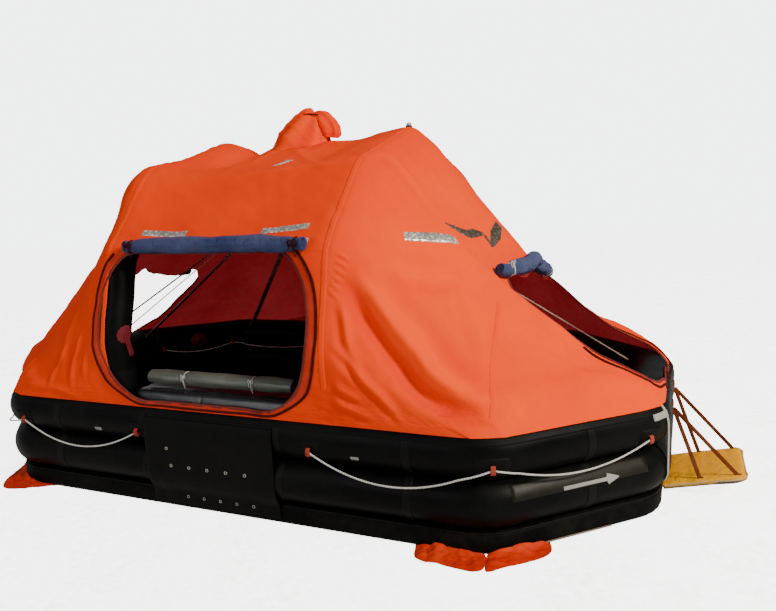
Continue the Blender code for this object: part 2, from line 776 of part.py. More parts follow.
def build_sleeve():
    roof = roof_height(0.0)
    pieces = []
    for name, rows, material in (
        ("hoist_sleeve", SLEEVE, "canopy_fabric"),
        ("sleeve_flap", SLEEVE_FLAP, None),
    ):
        points = [(x, 0.0, roof + z) for x, z, _ in rows]
        radii = [radius / SLEEVE[0][2] for _, _, radius in rows]
        pieces.append(
            tube(name, points, SLEEVE[0][2], material, resolution=4, radii=radii)
        )
    join(*pieces)
    cut(pieces[0], CLEAR["canopy_roof"])


def along_tube(distance, out, height):
    """A point beside the near right quarter of the tubes, by its distance round from x = 0."""
    corners = octagon(out)
    path = [(0.0, -HALF_WIDTH - out)]
    for i in (1, 2):
        path += fillet(corners[i - 1], corners[i], corners[i + 1], CORNER_R + out, CORNER_STEPS)
    path = np.array(path + [(HALF_LENGTH + out, 0.0)])
    run = np.concatenate(([0.0], np.cumsum(np.linalg.norm(np.diff(path, axis=0), axis=1))))
    x, y = (float(np.interp(distance, run, path[:, axis])) for axis in (0, 1))
    return (x, y, height)


def line_reach():
    """How far a lifeline's centre stands from the upper tube's centre line at its fixings, seen from above."""
    reach = TUBE_R + ROPE_R + GAP
    return math.sqrt(reach**2 - (UPPER_Z - LINE_Z) ** 2) + LUG_PROUD


def build_lugs():
    """The patches that the lifelines are tied to, one body with the upper tube."""
    out = line_reach()
    face = out - ROPE_R - GAP
    root = TUBE_R * 0.8
    places = []
    for distance in LINE_ENDS:
        a, b = (np.array(along_tube(distance + d, out, LINE_Z)) for d in (-0.01, 0.01))
        along = (b - a) / np.linalg.norm(b - a)
        bend = LUG_EASE if distance == LINE_ENDS[1] else 0.0
        places.append(((a + b) / 2, along, np.array((along[1], -along[0], 0.0)), out + bend))
    for x in INNER_FIXINGS:
        if x > 0:
            centre = np.array((x, -HALF_WIDTH + out, LINE_Z))
            places.append((centre, np.array((1.0, 0.0, 0.0)), np.array((0.0, 1.0, 0.0)), out))
    points, faces = [], []
    for sx in (1, -1):
        for sy in (1, -1):
            for centre, along, away, reach in places:
                first = len(points)
                for depth in (face - reach, root - reach):
                    for i, j in ((-1, -1), (1, -1), (1, 1), (-1, 1)):
                        spot = centre + away * depth + along * (i * LUG_SIZE[0])
                        spot = spot + np.array((0.0, 0.0, j * LUG_SIZE[1]))
                        points.append((sx * spot[0], sy * spot[1], spot[2]))
                faces += [tuple(first + k for k in (0, 1, 2, 3)), tuple(first + k for k in (7, 6, 5, 4))]
                for i in range(4):
                    j = (i + 1) % 4
                    faces.append((first + i, first + 4 + i, first + 4 + j, first + j))
    return mesh_object("lugs", points, faces)


def build_lifelines():
    out = line_reach()
    right = []
    for start, end in zip(LINE_ENDS, LINE_ENDS[1:]):
        for k in range(LINE_STEPS + 1):
            share = k / LINE_STEPS
            if right and k == 0:
                continue
            fall = LINE_SAG * 4 * share * (1 - share)
            bulge = 0.012 * math.sin(math.pi * share)
            spot = along_tube(start + (end - start) * share, out + bulge, LINE_Z - fall)
            right.append(spot)
    for name, sx, sy in (
        ("near_right", 1, 1),
        ("near_left", -1, 1),
        ("far_right", 1, -1),
        ("far_left", -1, -1),
    ):
        points = [(sx * x, sy * y, z) for x, y, z in right]
        tube("lifeline_" + name, points, ROPE_R, "rope", resolution=2)
    inside = HALF_WIDTH - out
    points = []
    for start, end in zip(INNER_FIXINGS, INNER_FIXINGS[1:]):
        for k in range(INNER_STEPS + 1):
            share = k / INNER_STEPS
            if points and k == 0:
                continue
            fall = INNER_SAG * 4 * share * (1 - share)
            y = inside - 0.012 * math.sin(math.pi * share)
            points.append((start + (end - start) * share, y, LINE_Z - fall))
    tube("inner_lifeline_far", points, ROPE_R, "rope", resolution=2)
    tube("inner_lifeline_near", [(x, -y, z) for x, y, z in points], ROPE_R, "rope", resolution=2)


def ramp_turn():
    """From the ramp's own frame, at the middle of its inner end, to the part's frame."""
    return Matrix.Translation((RAMP_X, RAMP_Y, RAMP_Z)) @ Matrix.Rotation(-RAMP_TILT, 4, "Y")


def build_ramp():
    half = (RAMP_HALF, RAMP_T / 2)
    ramp = box(
        "boarding_ramp", (0.0, -half[0], -half[1]), (RAMP_LENGTH, *half), "ramp_fabric"
    )
    clear = box("ramp_clear", (0.0, -half[0], -half[1]), (RAMP_LENGTH, half[0], half[1] + GAP))
    for item in (ramp, clear):
        item.data.transform(ramp_turn())
    round_edges(ramp, RAMP_ROUND, 2)
    cut(ramp, CLEAR["lower"], CLEAR["floor"])
    for name, tube_y, ramp_y in RAMP_TIES:
        foot = (RAMP_TIE_X, tube_y, RAMP_TIE_Z)
        pad = box(
            "ramp_straps_" + name,
            (RAMP_TIE_X - TUBE_R / 4, tube_y - RAMP_PAD[1], RAMP_TIE_Z - RAMP_PAD[2]),
            (RAMP_TIE_X + RAMP_PAD[0], tube_y + RAMP_PAD[1], RAMP_TIE_Z + RAMP_PAD[2]),
            "strap_webbing",
        )
        for count, place_at in enumerate(RAMP_TIE_PLACES):
            head = ramp_turn() @ Vector((place_at, ramp_y, RAMP_T / 2 - 0.004))
            join(pad, strap(f"ramp_tie_{name}_{count}", foot, head, RAMP_TIE_W, STRAP_T, None))
        cut(pad, CLEAR["upper"], clear)


def build_stowage():
    sill = prism("sill_clear", SILL, -SILL_HALF, SILL_HALF)
    swap = Matrix(((0, 0, 1, 0), (1, 0, 0, 0), (0, 1, 0, 0), (0, 0, 0, 1)))
    sill.data.transform(swap)
    made = bpy.data.objects.new("door_sill", sill.data.copy())
    place(made, "sill_fabric")
    round_edges(made, SILL_ROUND, 2)
    cut(made, CLEAR["upper"])
    grown = Matrix.Translation((0.0, 0.0, GAP))
    sill.data.transform(grown)
    z = max(height for _, height in SILL) + BUNDLE_R - BUNDLE_SINK
    span = np.linspace(*BUNDLE_X, len(BUNDLE_SHAPE))
    bundle = tube(
        "stowed_bundle",
        [(x, BUNDLE_Y, z) for x in span],
        BUNDLE_R,
        "bundle_fabric",
        resolution=4,
        radii=BUNDLE_SHAPE,
    )
    cut(bundle, sill)


def build_lamp():
    top = roof_height(ARCH_X) + LAMP_H / 2 - 0.003
    mesh = bpy.data.meshes.new("canopy_lamp")
    work = bmesh.new()
    bmesh.ops.create_cone(
        work,
        cap_ends=True,
        segments=14,
        radius1=LAMP_R,
        radius2=LAMP_R * 0.7,
        depth=LAMP_H,
        matrix=Matrix.Translation((ARCH_X, 0.0, top)),
    )
    work.to_mesh(mesh)
    work.free()
    lamp = place(bpy.data.objects.new("canopy_lamp", mesh), "lamp_plastic")
    cut(lamp, CLEAR["canopy_roof"], CLEAR["canopy_end_right"])


def build_pockets():
    outlines = {name: (side_x, outline) for name, side_x, outline in POCKETS}
    for word, side_y, names in POCKET_SIDES:
        for name in names:
            side_x, outline = outlines[name]
            corners = [
                (side_x * (SIDE_HALF + x), side_y * (HALF_WIDTH + y)) for x, y in outline
            ]
            pocket = prism(
                f"water_pocket_{word}_{name}", corners, 0.001, POCKET_T, "pocket_fabric"
            )
            cut(pocket, CLEAR["floor"])


clear_scene()
CUTTERS = helper_collection()
MATERIALS = make_materials()
CLEAR = {}
build_hull()
build_arches()
build_canopy()
build_curtains()
CLEAR["head"] = tube(
    "head_clear",
    [(0, 0, HEAD_Z - HEAD_H), (0, 0, HEAD_Z + HEAD_H)],
    HEAD_R + GAP,
    resolution=6,
)
build_bridle()
build_sleeve()
build_lifelines()
build_ramp()
build_stowage()
build_lamp()
build_pockets()
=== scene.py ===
"""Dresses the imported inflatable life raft: canopy, tubes, floor, lines, ramp, stowage, studio and camera.

Lengths are metres in the raft's own frame: X runs along it, Y across it with the side door at -Y, and Z up
from the ground.
"""

import json
import logging
import math
from dataclasses import dataclass, field
from enum import Enum

import bmesh
import bpy
import numpy as np
from mathutils import Matrix

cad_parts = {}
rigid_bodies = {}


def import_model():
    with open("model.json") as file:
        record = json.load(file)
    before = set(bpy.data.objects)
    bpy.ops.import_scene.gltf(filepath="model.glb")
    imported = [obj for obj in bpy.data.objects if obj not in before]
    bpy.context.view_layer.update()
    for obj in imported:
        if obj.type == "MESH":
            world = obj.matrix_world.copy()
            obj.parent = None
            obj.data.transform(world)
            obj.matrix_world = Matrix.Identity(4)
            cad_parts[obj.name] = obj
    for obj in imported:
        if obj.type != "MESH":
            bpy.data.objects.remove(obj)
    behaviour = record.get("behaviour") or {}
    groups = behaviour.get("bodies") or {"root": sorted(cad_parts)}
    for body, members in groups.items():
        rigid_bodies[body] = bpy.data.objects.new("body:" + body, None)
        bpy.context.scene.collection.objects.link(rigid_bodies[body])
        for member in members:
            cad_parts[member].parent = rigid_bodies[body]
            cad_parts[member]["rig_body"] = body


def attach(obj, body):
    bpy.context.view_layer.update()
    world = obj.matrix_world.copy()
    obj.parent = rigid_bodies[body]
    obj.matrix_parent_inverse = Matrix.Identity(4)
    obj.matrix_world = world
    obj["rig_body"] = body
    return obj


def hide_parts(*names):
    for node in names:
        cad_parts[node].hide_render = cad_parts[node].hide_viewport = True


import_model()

LOG = logging.getLogger("life_raft")
Array = np.ndarray

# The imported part's own sizes.
GAP = 0.0003
TUBE_R = 0.150
HALF_WIDTH = 1.325
SIDE_HALF = 1.651
CHAMFER = 0.733
END_HALF = HALF_WIDTH - CHAMFER
HALF_LENGTH = SIDE_HALF + CHAMFER
CORNER_R = 0.25
FLOOR_H = 0.125
FLOOR_PROUD = 0.100
LOWER_Z = 0.270
UPPER_Z = 0.540
ARCH_X = 0.780
ARCH_R = 0.100
RIM_SPREAD = (TUBE_R + GAP) * math.sqrt(0.5)
RIM_Z = UPPER_Z + RIM_SPREAD
X_AXIS, Y_AXIS, UP = np.eye(3)


class Wrap(Enum):
    """Which ways a grid of points closes on itself."""

    OPEN = "open"
    TUBE = "tube"
    RING = "ring"


def unit(vectors: Array) -> Array:
    """Vectors scaled to length one."""
    return vectors / np.maximum(np.linalg.norm(vectors, axis=-1, keepdims=True), 1e-12)


def xyz(x: Array, y: Array, z: Array) -> Array:
    """Points from their coordinates, each of them one number or one for each point."""
    return np.stack(np.broadcast_arrays(x, y, z), -1)


def running(steps: Array) -> Array:
    """Distances covered so far, from 0."""
    return np.concatenate(([0.0], np.cumsum(steps)))


def full_turn(count: int) -> Array:
    """Angles evenly spaced round a full turn, which ends where it starts."""
    return np.linspace(0.0, 2 * math.pi, count, endpoint=False)


def shares(count: int) -> Array:
    """Evenly spaced shares from 0 to 1."""
    return np.linspace(0.0, 1.0, count)


def ease(share: Array) -> Array:
    """The S-shaped rise 3t^2 - 2t^3 from 0 to 1."""
    share = np.clip(share, 0.0, 1.0)
    return share * share * (3.0 - 2.0 * share)


def bell(offset: Array, width: float) -> Array:
    """The hump exp(-(d / width)^2) at a distance d."""
    return np.exp(-((offset / width) ** 2))


def ripple(points: Array, size: float, seed: int, octaves: int = 3) -> Array:
    """Smooth noise from about -1 to 1: sine waves in seeded directions, each octave half as long and high.

    Args:
        points: Places, with the coordinates last.
        size: Length of the longest wave.
        seed: Seed of the directions and phases.
        octaves: How many times the waves are halved.

    Returns:
        One value for each place.
    """
    draw = np.random.default_rng(seed)
    total = np.zeros(points.shape[:-1])
    for octave in range(octaves):
        for _ in range(5):
            way = unit(draw.normal(size=points.shape[-1])) * 2 * math.pi * 2**octave / size
            pace, phase = draw.uniform(0.7, 1.3), draw.uniform(0, 2 * math.pi)
            total += np.sin(points @ way * pace + phase) / 2**octave
    return total / 3.0


def fillet(before: Array, corner: Array, after: Array, radius: float, steps: int) -> Array:
    """Points of the arc that rounds one corner of a flat line.

    Args:
        before: The point before the corner.
        corner: The corner.
        after: The point after it.
        radius: The arc's radius.
        steps: The number of spans in the arc.

    Returns:
        steps + 1 points, from the mix sin((1-t)a) start + sin(ta) end about the arc's centre.
    """
    u, w = unit(before - corner), unit(after - corner)
    half = math.acos(float(np.clip(u @ w, -1.0, 1.0))) / 2
    centre = corner + unit(u + w) * radius / math.sin(half)
    start = corner + u * radius / math.tan(half) - centre
    end = corner + w * radius / math.tan(half) - centre
    sweep = math.pi - 2 * half
    share = shares(steps + 1)[:, None]
    mix = np.sin((1 - share) * sweep) * start + np.sin(share * sweep) * end
    return centre + mix / math.sin(sweep)


def curve(knots: Array, values: Array, at: Array) -> Array:
    """A cubic curve through values, each slope the mean of its two spans, the shorter span counting more.

    Args:
        knots: Rising places of the values.
        values: One row for each knot.
        at: The places that are asked for.

    Returns:
        One row for each place.
    """
    flat = values.reshape(len(values), -1)
    span = np.diff(knots)[:, None]
    rise = np.diff(flat, axis=0) / span
    slope = np.vstack((rise[:1], rise, rise[-1:]))[:-1]
    slope[1:-1] = (span[1:] * rise[:-1] + span[:-1] * rise[1:]) / (span[1:] + span[:-1])
    slope[-1] = rise[-1]
    i = np.clip(np.searchsorted(knots, at, "right") - 1, 0, len(knots) - 2)
    h = span[i]
    t = (at - knots[i])[:, None] / h
    found = (1 + 2 * t) * (1 - t) ** 2 * flat[i] + t * (1 - t) ** 2 * h * slope[i]
    found += t * t * (3 - 2 * t) * flat[i + 1] + t * t * (t - 1) * h * slope[i + 1]
    return found.reshape(len(at), *values.shape[1:])


def through(points: Array, count: int, closed: bool = False) -> Array:
    """Evenly spaced places on the cubic curve through points, by the distance along them.

    Args:
        points: The points that the curve meets.
        count: How many places are wanted.
        closed: Whether the curve comes back to its first point.

    Returns:
        count places.
    """
    points = np.asarray(points, float)
    if closed:
        points = np.concatenate((points[-3:], points, points[:4]))
    run = running(np.linalg.norm(np.diff(points, axis=0), axis=1))
    first, last = (run[3], run[-4]) if closed else (run[0], run[-1])
    return curve(run, points, np.linspace(first, last, count + closed))[:count]


def refine(net: Array, counts: tuple[int, int], lean: float) -> Array:
    """A fine grid on the cubic curves through a coarse one: a span has places by its length^0.8.

    Args:
        net: The coarse grid of points.
        counts: Rows and columns wanted.
        lean: Power that crowds the rows toward the first one.

    Returns:
        The fine grid.
    """
    for axis, power in ((0, lean), (1, 1.0)):
        net = np.moveaxis(net, axis, 0)
        span = np.linalg.norm(np.diff(net, axis=0), axis=-1).mean(axis=1)
        knots, share = running(span), running(span**0.8)
        at = np.interp(shares(counts[axis]) ** power, share / share[-1], knots)
        net = np.moveaxis(curve(knots, net, at), 0, axis)
    return net


def facing(grid: Array) -> Array:
    """Unit normals of a grid of points: the slope along the rows crossed with that along the columns."""
    return unit(np.cross(np.gradient(grid, axis=0), np.gradient(grid, axis=1)))


def circle(radius: float, count: int) -> Array:
    """A round profile, (across, up), turning from across to up."""
    angle = full_turn(count)
    return radius * np.stack((np.cos(angle), np.sin(angle)), -1)


def oblong(width: float, height: float, count: int, power: float = 4.0) -> Array:
    """A flat profile with soft edges: (|x| / a)^p + (|y| / b)^p = 1."""
    ring = circle(1.0, count)
    return np.sign(ring) * np.abs(ring) ** (2 / power) * (width / 2, height / 2)


def carry(path: Array, profile: Array, up: Array = UP, closed: bool = False) -> Array:
    """A profile carried along a path: each point is path + across * a + rise * b.

    Across is the way along crossed with the up direction, and rise is across crossed with the way along.

    Args:
        path: The points that it follows.
        profile: Points (a, b), the same all along or one set for each point of the path.
        up: The direction that b leans to, one or one for each point.
        closed: Whether the path comes back to its first point.

    Returns:
        A grid with the path's points as rows and the profile's as columns.
    """
    step = (np.roll(path, -1, 0) - np.roll(path, 1, 0)) if closed else np.gradient(path, axis=0)
    along = unit(step)
    across = unit(np.cross(along, np.broadcast_to(up, path.shape)))
    rise = np.cross(across, along)
    return (
        path[:, None]
        + across[:, None] * profile[..., 0][..., None]
        + rise[:, None] * profile[..., 1][..., None]
    )


def spans(grid: Array) -> Array:
    """Distances along the rows and the columns of a grid, averaged over the other way, as UV in metres.

    Args:
        grid: The points.

    Returns:
        (u, v) for each point.
    """
    down = np.linalg.norm(np.diff(grid, axis=0), axis=-1).mean(axis=1)
    over = np.linalg.norm(np.diff(grid, axis=1), axis=-1).mean(axis=0)
    u, v = running(down), running(over)
    return np.stack(np.meshgrid(u, v, indexing="ij"), -1)


@dataclass
class Form:
    """Grids of points gathered into one mesh, with a UV map in metres."""

    name: str
    points: list[Array] = field(default_factory=list)
    faces: list[list[int]] = field(default_factory=list)
    uvs: list[Array] = field(default_factory=list)
    marks: list[Array] = field(default_factory=list)
    finishes: list[int] = field(default_factory=list)
    count: int = 0

    def add(
        self,
        grid: Array,
        wrap: Wrap = Wrap.OPEN,
        caps: bool = False,
        flip: bool = False,
        finish: int = 0,
        level: Array | None = None,
        mark: Array | None = None,
    ) -> "Form":
        """Adds a grid. TUBE closes its columns, RING closes its rows and columns both.

        Args:
            grid: Points in rows and columns.
            wrap: Which ways it closes.
            caps: Whether a fan closes each end of a tube.
            flip: Whether faces point the other way.
            finish: Which of the piece's finishes it takes.
            level: Distances outside the holes. A face with one point below 0 loses that corner, and
                a face with more is left out.
            mark: A value from 0 to 1 for each point, which the finish may read as painted light and shade,
                darker below 0.5 and lighter above it.

        Returns:
            The form itself.
        """
        rows, columns = grid.shape[:2]
        index = np.arange(rows * columns).reshape(rows, columns) + self.count
        wide = grid
        if wrap is Wrap.RING:
            index, wide = np.vstack((index, index[:1])), np.concatenate((wide, wide[:1]))
        if wrap is not Wrap.OPEN:
            index = np.hstack((index, index[:, :1]))
            wide = np.concatenate((wide, wide[:, :1]), axis=1)
        uv = spans(wide)
        quads = [
            np.stack((a[:-1, :-1], a[1:, :-1], a[1:, 1:], a[:-1, 1:]), 2).reshape(-1, 4, *a.shape[2:])
            for a in (index, uv)
        ]
        if flip:
            quads = [part[:, ::-1] for part in quads]
        groups = [quads]
        if level is not None:
            inside = level.ravel()[quads[0] - self.count] < -1e-6
            whole, corner = ~inside.any(1), inside.sum(1) == 1
            order = (inside[corner].argmax(1)[:, None] + (1, 2, 3)) % 4
            rest = np.arange(int(corner.sum()))[:, None]
            groups = [[part[whole] for part in quads], [part[corner][rest, order] for part in quads]]
        for faces, corners in groups:
            self.faces += faces.tolist()
            self.uvs.append(corners.reshape(-1, 2))
            self.finishes += [finish] * len(faces)
        self.points.append(grid.reshape(-1, 3))
        self.marks.append(np.full(rows * columns, 0.5) if mark is None else mark.ravel())
        self.count += rows * columns
        if caps:
            for row, forward in ((0, flip), (rows - 1, not flip)):
                ring = index[row]
                centre = np.full(len(ring) - 1, self.count)
                fan = np.stack((ring[:-1], ring[1:], centre), 1)
                self.faces += (fan if forward else fan[:, ::-1]).tolist()
                flat = grid[row] - grid[row].mean(0)
                spot = np.stack((np.linalg.norm(flat, axis=-1), flat[:, 2]), -1)
                self.uvs.append(np.repeat(spot, 3, 0))
                self.finishes += [finish] * len(fan)
                self.points.append(grid[row].mean(0)[None])
                self.marks.append(np.array([0.5]))
                self.count += 1
        return self

    def bar(
        self, path: Array, profile: Array, up: Array = UP, closed: bool = False, flip: bool = False,
        finish: int = 0,
    ) -> "Form":
        """Adds a profile carried along a path, joined to itself where closed and capped at its ends if not.

        Args:
            path: The points that it follows.
            profile: Its points (across, up).
            up: The direction that its up leans to.
            closed: Whether the path comes back to its first point.
            flip: Whether faces point the other way.
            finish: Which of the piece's finishes it takes.

        Returns:
            The form itself.
        """
        wrap = Wrap.RING if closed else Wrap.TUBE
        return self.add(carry(path, profile, up, closed), wrap, caps=not closed, flip=flip, finish=finish)

    def build(
        self,
        finishes: "list[Finish]",
        replaces: tuple[str, ...] = (),
        slot: str = "",
        thick: float = 0.0,
        outward: bool = True,
    ) -> bpy.types.Object:
        """Makes the mesh object, gives it its finishes and lets it ride on the raft.

        Args:
            finishes: The finishes, in the order that the grids name them.
            replaces: The CAD nodes that it stands for.
            slot: The record's material slot; not used.
            thick: Wall that a Solidify modifier adds inwards, or 0.
            outward: Whether the normals are worked out again, for closed shapes.

        Returns:
            The object.
        """
        mesh = bpy.data.meshes.new(self.name)
        mesh.from_pydata(np.concatenate(self.points).tolist(), [], self.faces)
        mesh.uv_layers.new(name="cloth").data.foreach_set("uv", np.concatenate(self.uvs).ravel())
        mark = mesh.attributes.new("mark", "FLOAT", "POINT")
        mark.data.foreach_set("value", np.concatenate(self.marks).astype(np.float32))
        mesh.polygons.foreach_set("material_index", self.finishes)
        work = bmesh.new()
        work.from_mesh(mesh)
        loose = [vertex for vertex in work.verts if not vertex.link_faces]
        bmesh.ops.delete(work, geom=loose, context="VERTS")
        if outward:
            bmesh.ops.recalc_face_normals(work, faces=work.faces)
        for face in work.faces:
            face.smooth = True
        work.to_mesh(mesh)
        work.free()
        piece = bpy.data.objects.new(self.name, mesh)
        bpy.context.scene.collection.objects.link(piece)
        for finish in finishes:
            mesh.materials.append(finish.material())
        if thick:
            wall = piece.modifiers.new("wall", "SOLIDIFY")
            wall.thickness, wall.offset = thick, -1.0
        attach(piece, "root")
        if replaces:
            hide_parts(*replaces)
        LOG.info("%s: %d faces", self.name, len(mesh.polygons))
        return piece

    def area(self) -> float:
        """The surface, from the cross products of the quads' diagonals.

        Returns:
            The area in square metres.
        """
        points = np.concatenate(self.points)
        quads = np.array([face for face in self.faces if len(face) == 4])
        a, b, c, d = (points[quads[:, k]] for k in range(4))
        return float(np.linalg.norm(np.cross(c - a, d - b), axis=1).sum() / 2)


class Graph:
    """Short calls that build one node tree."""

    def __init__(self, tree: bpy.types.NodeTree) -> None:
        """Works on a tree."""
        self.tree = tree

    def add(
        self, kind: str, inputs: dict | None = None, out: int | str = 0, **settings: object,
    ) -> bpy.types.NodeSocket:
        """Adds a node and links or sets its inputs.

        Args:
            kind: The node's type, without ShaderNode.
            inputs: Sockets or values by the inputs' names or places.
            out: Which output is wanted.
            **settings: Properties of the node.

        Returns:
            The output socket.
        """
        node = self.tree.nodes.new("ShaderNode" + kind)
        for name, value in settings.items():
            setattr(node, name, value)
        for name, value in (inputs or {}).items():
            if isinstance(value, bpy.types.NodeSocket):
                self.tree.links.new(value, node.inputs[name])
            else:
                node.inputs[name].default_value = value
        return node.outputs[out]

    def math(self, operation: str, *values: object, clamp: bool = False) -> bpy.types.NodeSocket:
        """A Math node on sockets or numbers."""
        return self.add("Math", dict(enumerate(values)), operation=operation, use_clamp=clamp)

    def blend(self, share: object, first: object, second: object, mode: str = "MIX") -> bpy.types.NodeSocket:
        """A colour mixed from two by a share."""
        return self.add("Mix", {0: share, 6: first, 7: second}, 2, data_type="RGBA", blend_type=mode)

    def spread(
        self, value: object, low: float, high: float, bottom: float = 0.0, top: float = 1.0,
    ) -> bpy.types.NodeSocket:
        """A value mapped from one range to another and held there."""
        return self.add("MapRange", {0: value, 1: low, 2: high, 3: bottom, 4: top})

    def dimmed(self, colour: object, dim: object) -> bpy.types.NodeSocket:
        """A colour times a grey value."""
        return self.blend(1.0, colour, self.add("CombineColor", {0: dim, 1: dim, 2: dim}), "MULTIPLY")


def shared_group(name: str, inputs: dict[str, object], outputs: tuple[str, ...]) -> tuple:
    """An empty node group with named sockets, or the one that was built before.

    Args:
        name: The group's name.
        inputs: Default values by name: a tuple is a vector, a number a value.
        outputs: Names of its value outputs.

    Returns:
        (group, graph, inner inputs, function that sets an output), with None for the rest where it exists.
    """
    tree = bpy.data.node_groups.get(name)
    if tree:
        return tree, None, None, None
    tree = bpy.data.node_groups.new(name, "ShaderNodeTree")
    for title, value in inputs.items():
        kind = "NodeSocketVector" if isinstance(value, tuple) else "NodeSocketFloat"
        socket = tree.interface.new_socket(title, in_out="INPUT", socket_type=kind)
        socket.default_value = value
    for title in outputs:
        tree.interface.new_socket(title, in_out="OUTPUT", socket_type="NodeSocketFloat")
    start, end = tree.nodes.new("NodeGroupInput"), tree.nodes.new("NodeGroupOutput")
    return tree, Graph(tree), start.outputs, lambda title, value: tree.links.new(value, end.inputs[title])


def weave_group() -> bpy.types.NodeTree:
    """Warp and weft: height = (|sin u| + |sin v|) / 2 on the UV map, each thread worth half a wave.

    Returns:
        The node group.
    """
    tree, graph, inner, give = shared_group("weave", {"Vector": (0, 0, 0), "Threads": 400.0}, ("Height",))
    if graph:
        pace = graph.math("MULTIPLY", inner["Threads"], math.pi)
        parts = [graph.add("SeparateXYZ", {0: inner["Vector"]}, axis) for axis in "XY"]
        turns = [graph.math("MULTIPLY", part, pace) for part in parts]
        waves = [graph.math("ABSOLUTE", graph.math("SINE", turn)) for turn in turns]
        give("Height", graph.math("MULTIPLY", graph.math("ADD", *waves), 0.5))
    return tree


def crease_group() -> bpy.types.NodeTree:
    """Fine creases: narrow ridges where a warped noise crosses its middle, over a softer swell.

    Returns:
        The node group.
    """
    tree, graph, inner, give = shared_group("creases", {"Vector": (0, 0, 0), "Size": 0.1}, ("Height",))
    if graph:
        scale = graph.math("DIVIDE", 1.0, inner["Size"])
        noise = {"Vector": inner["Vector"], "Scale": scale, "Detail": 2.0, "Distortion": 0.4}
        swell = graph.add("TexNoise", noise, "Fac")
        fold = graph.math("ABSOLUTE", graph.math("SUBTRACT", swell, 0.5))
        line = graph.spread(fold, 0.0, 0.10, 1.0, 0.0)
        give("Height", graph.math("ADD", graph.math("MULTIPLY", line, 0.10), swell))
    return tree


def soil_group() -> bpy.types.NodeTree:
    """Soiling and fading: blotches of two sizes, stronger toward the ground.

    Returns:
        The node group, which puts out Soil and Fade.
    """
    tree, graph, inner, give = shared_group("soil", {"Vector": (0, 0, 0), "Reach": 0.6}, ("Soil", "Fade"))
    if graph:
        wide = graph.add("TexNoise", {"Vector": inner["Vector"], "Scale": 2.6, "Detail": 5.0}, "Fac")
        fine = graph.add("TexNoise", {"Vector": inner["Vector"], "Scale": 19.0, "Detail": 6.0}, "Fac")
        height = graph.add("SeparateXYZ", {0: inner["Vector"]}, "Z")
        low = graph.spread(graph.math("DIVIDE", height, inner["Reach"]), 0.0, 1.0, 1.0, 0.35)
        blotch = graph.spread(graph.math("MULTIPLY", wide, fine), 0.2, 0.42)
        give("Soil", graph.math("MULTIPLY", blotch, low))
        give("Fade", graph.spread(wide, 0.35, 0.7))
    return tree


# Heights of a rope's strands and of the fine grain, the grain's scale, and how far fading and soil roughen.
LAY_HEIGHT = 0.0012
GRAIN_HEIGHT = 0.00018
GRAIN_SCALE = 320.0
ROUGH_RANGE = 0.16
SOIL_ROUGH = 0.15


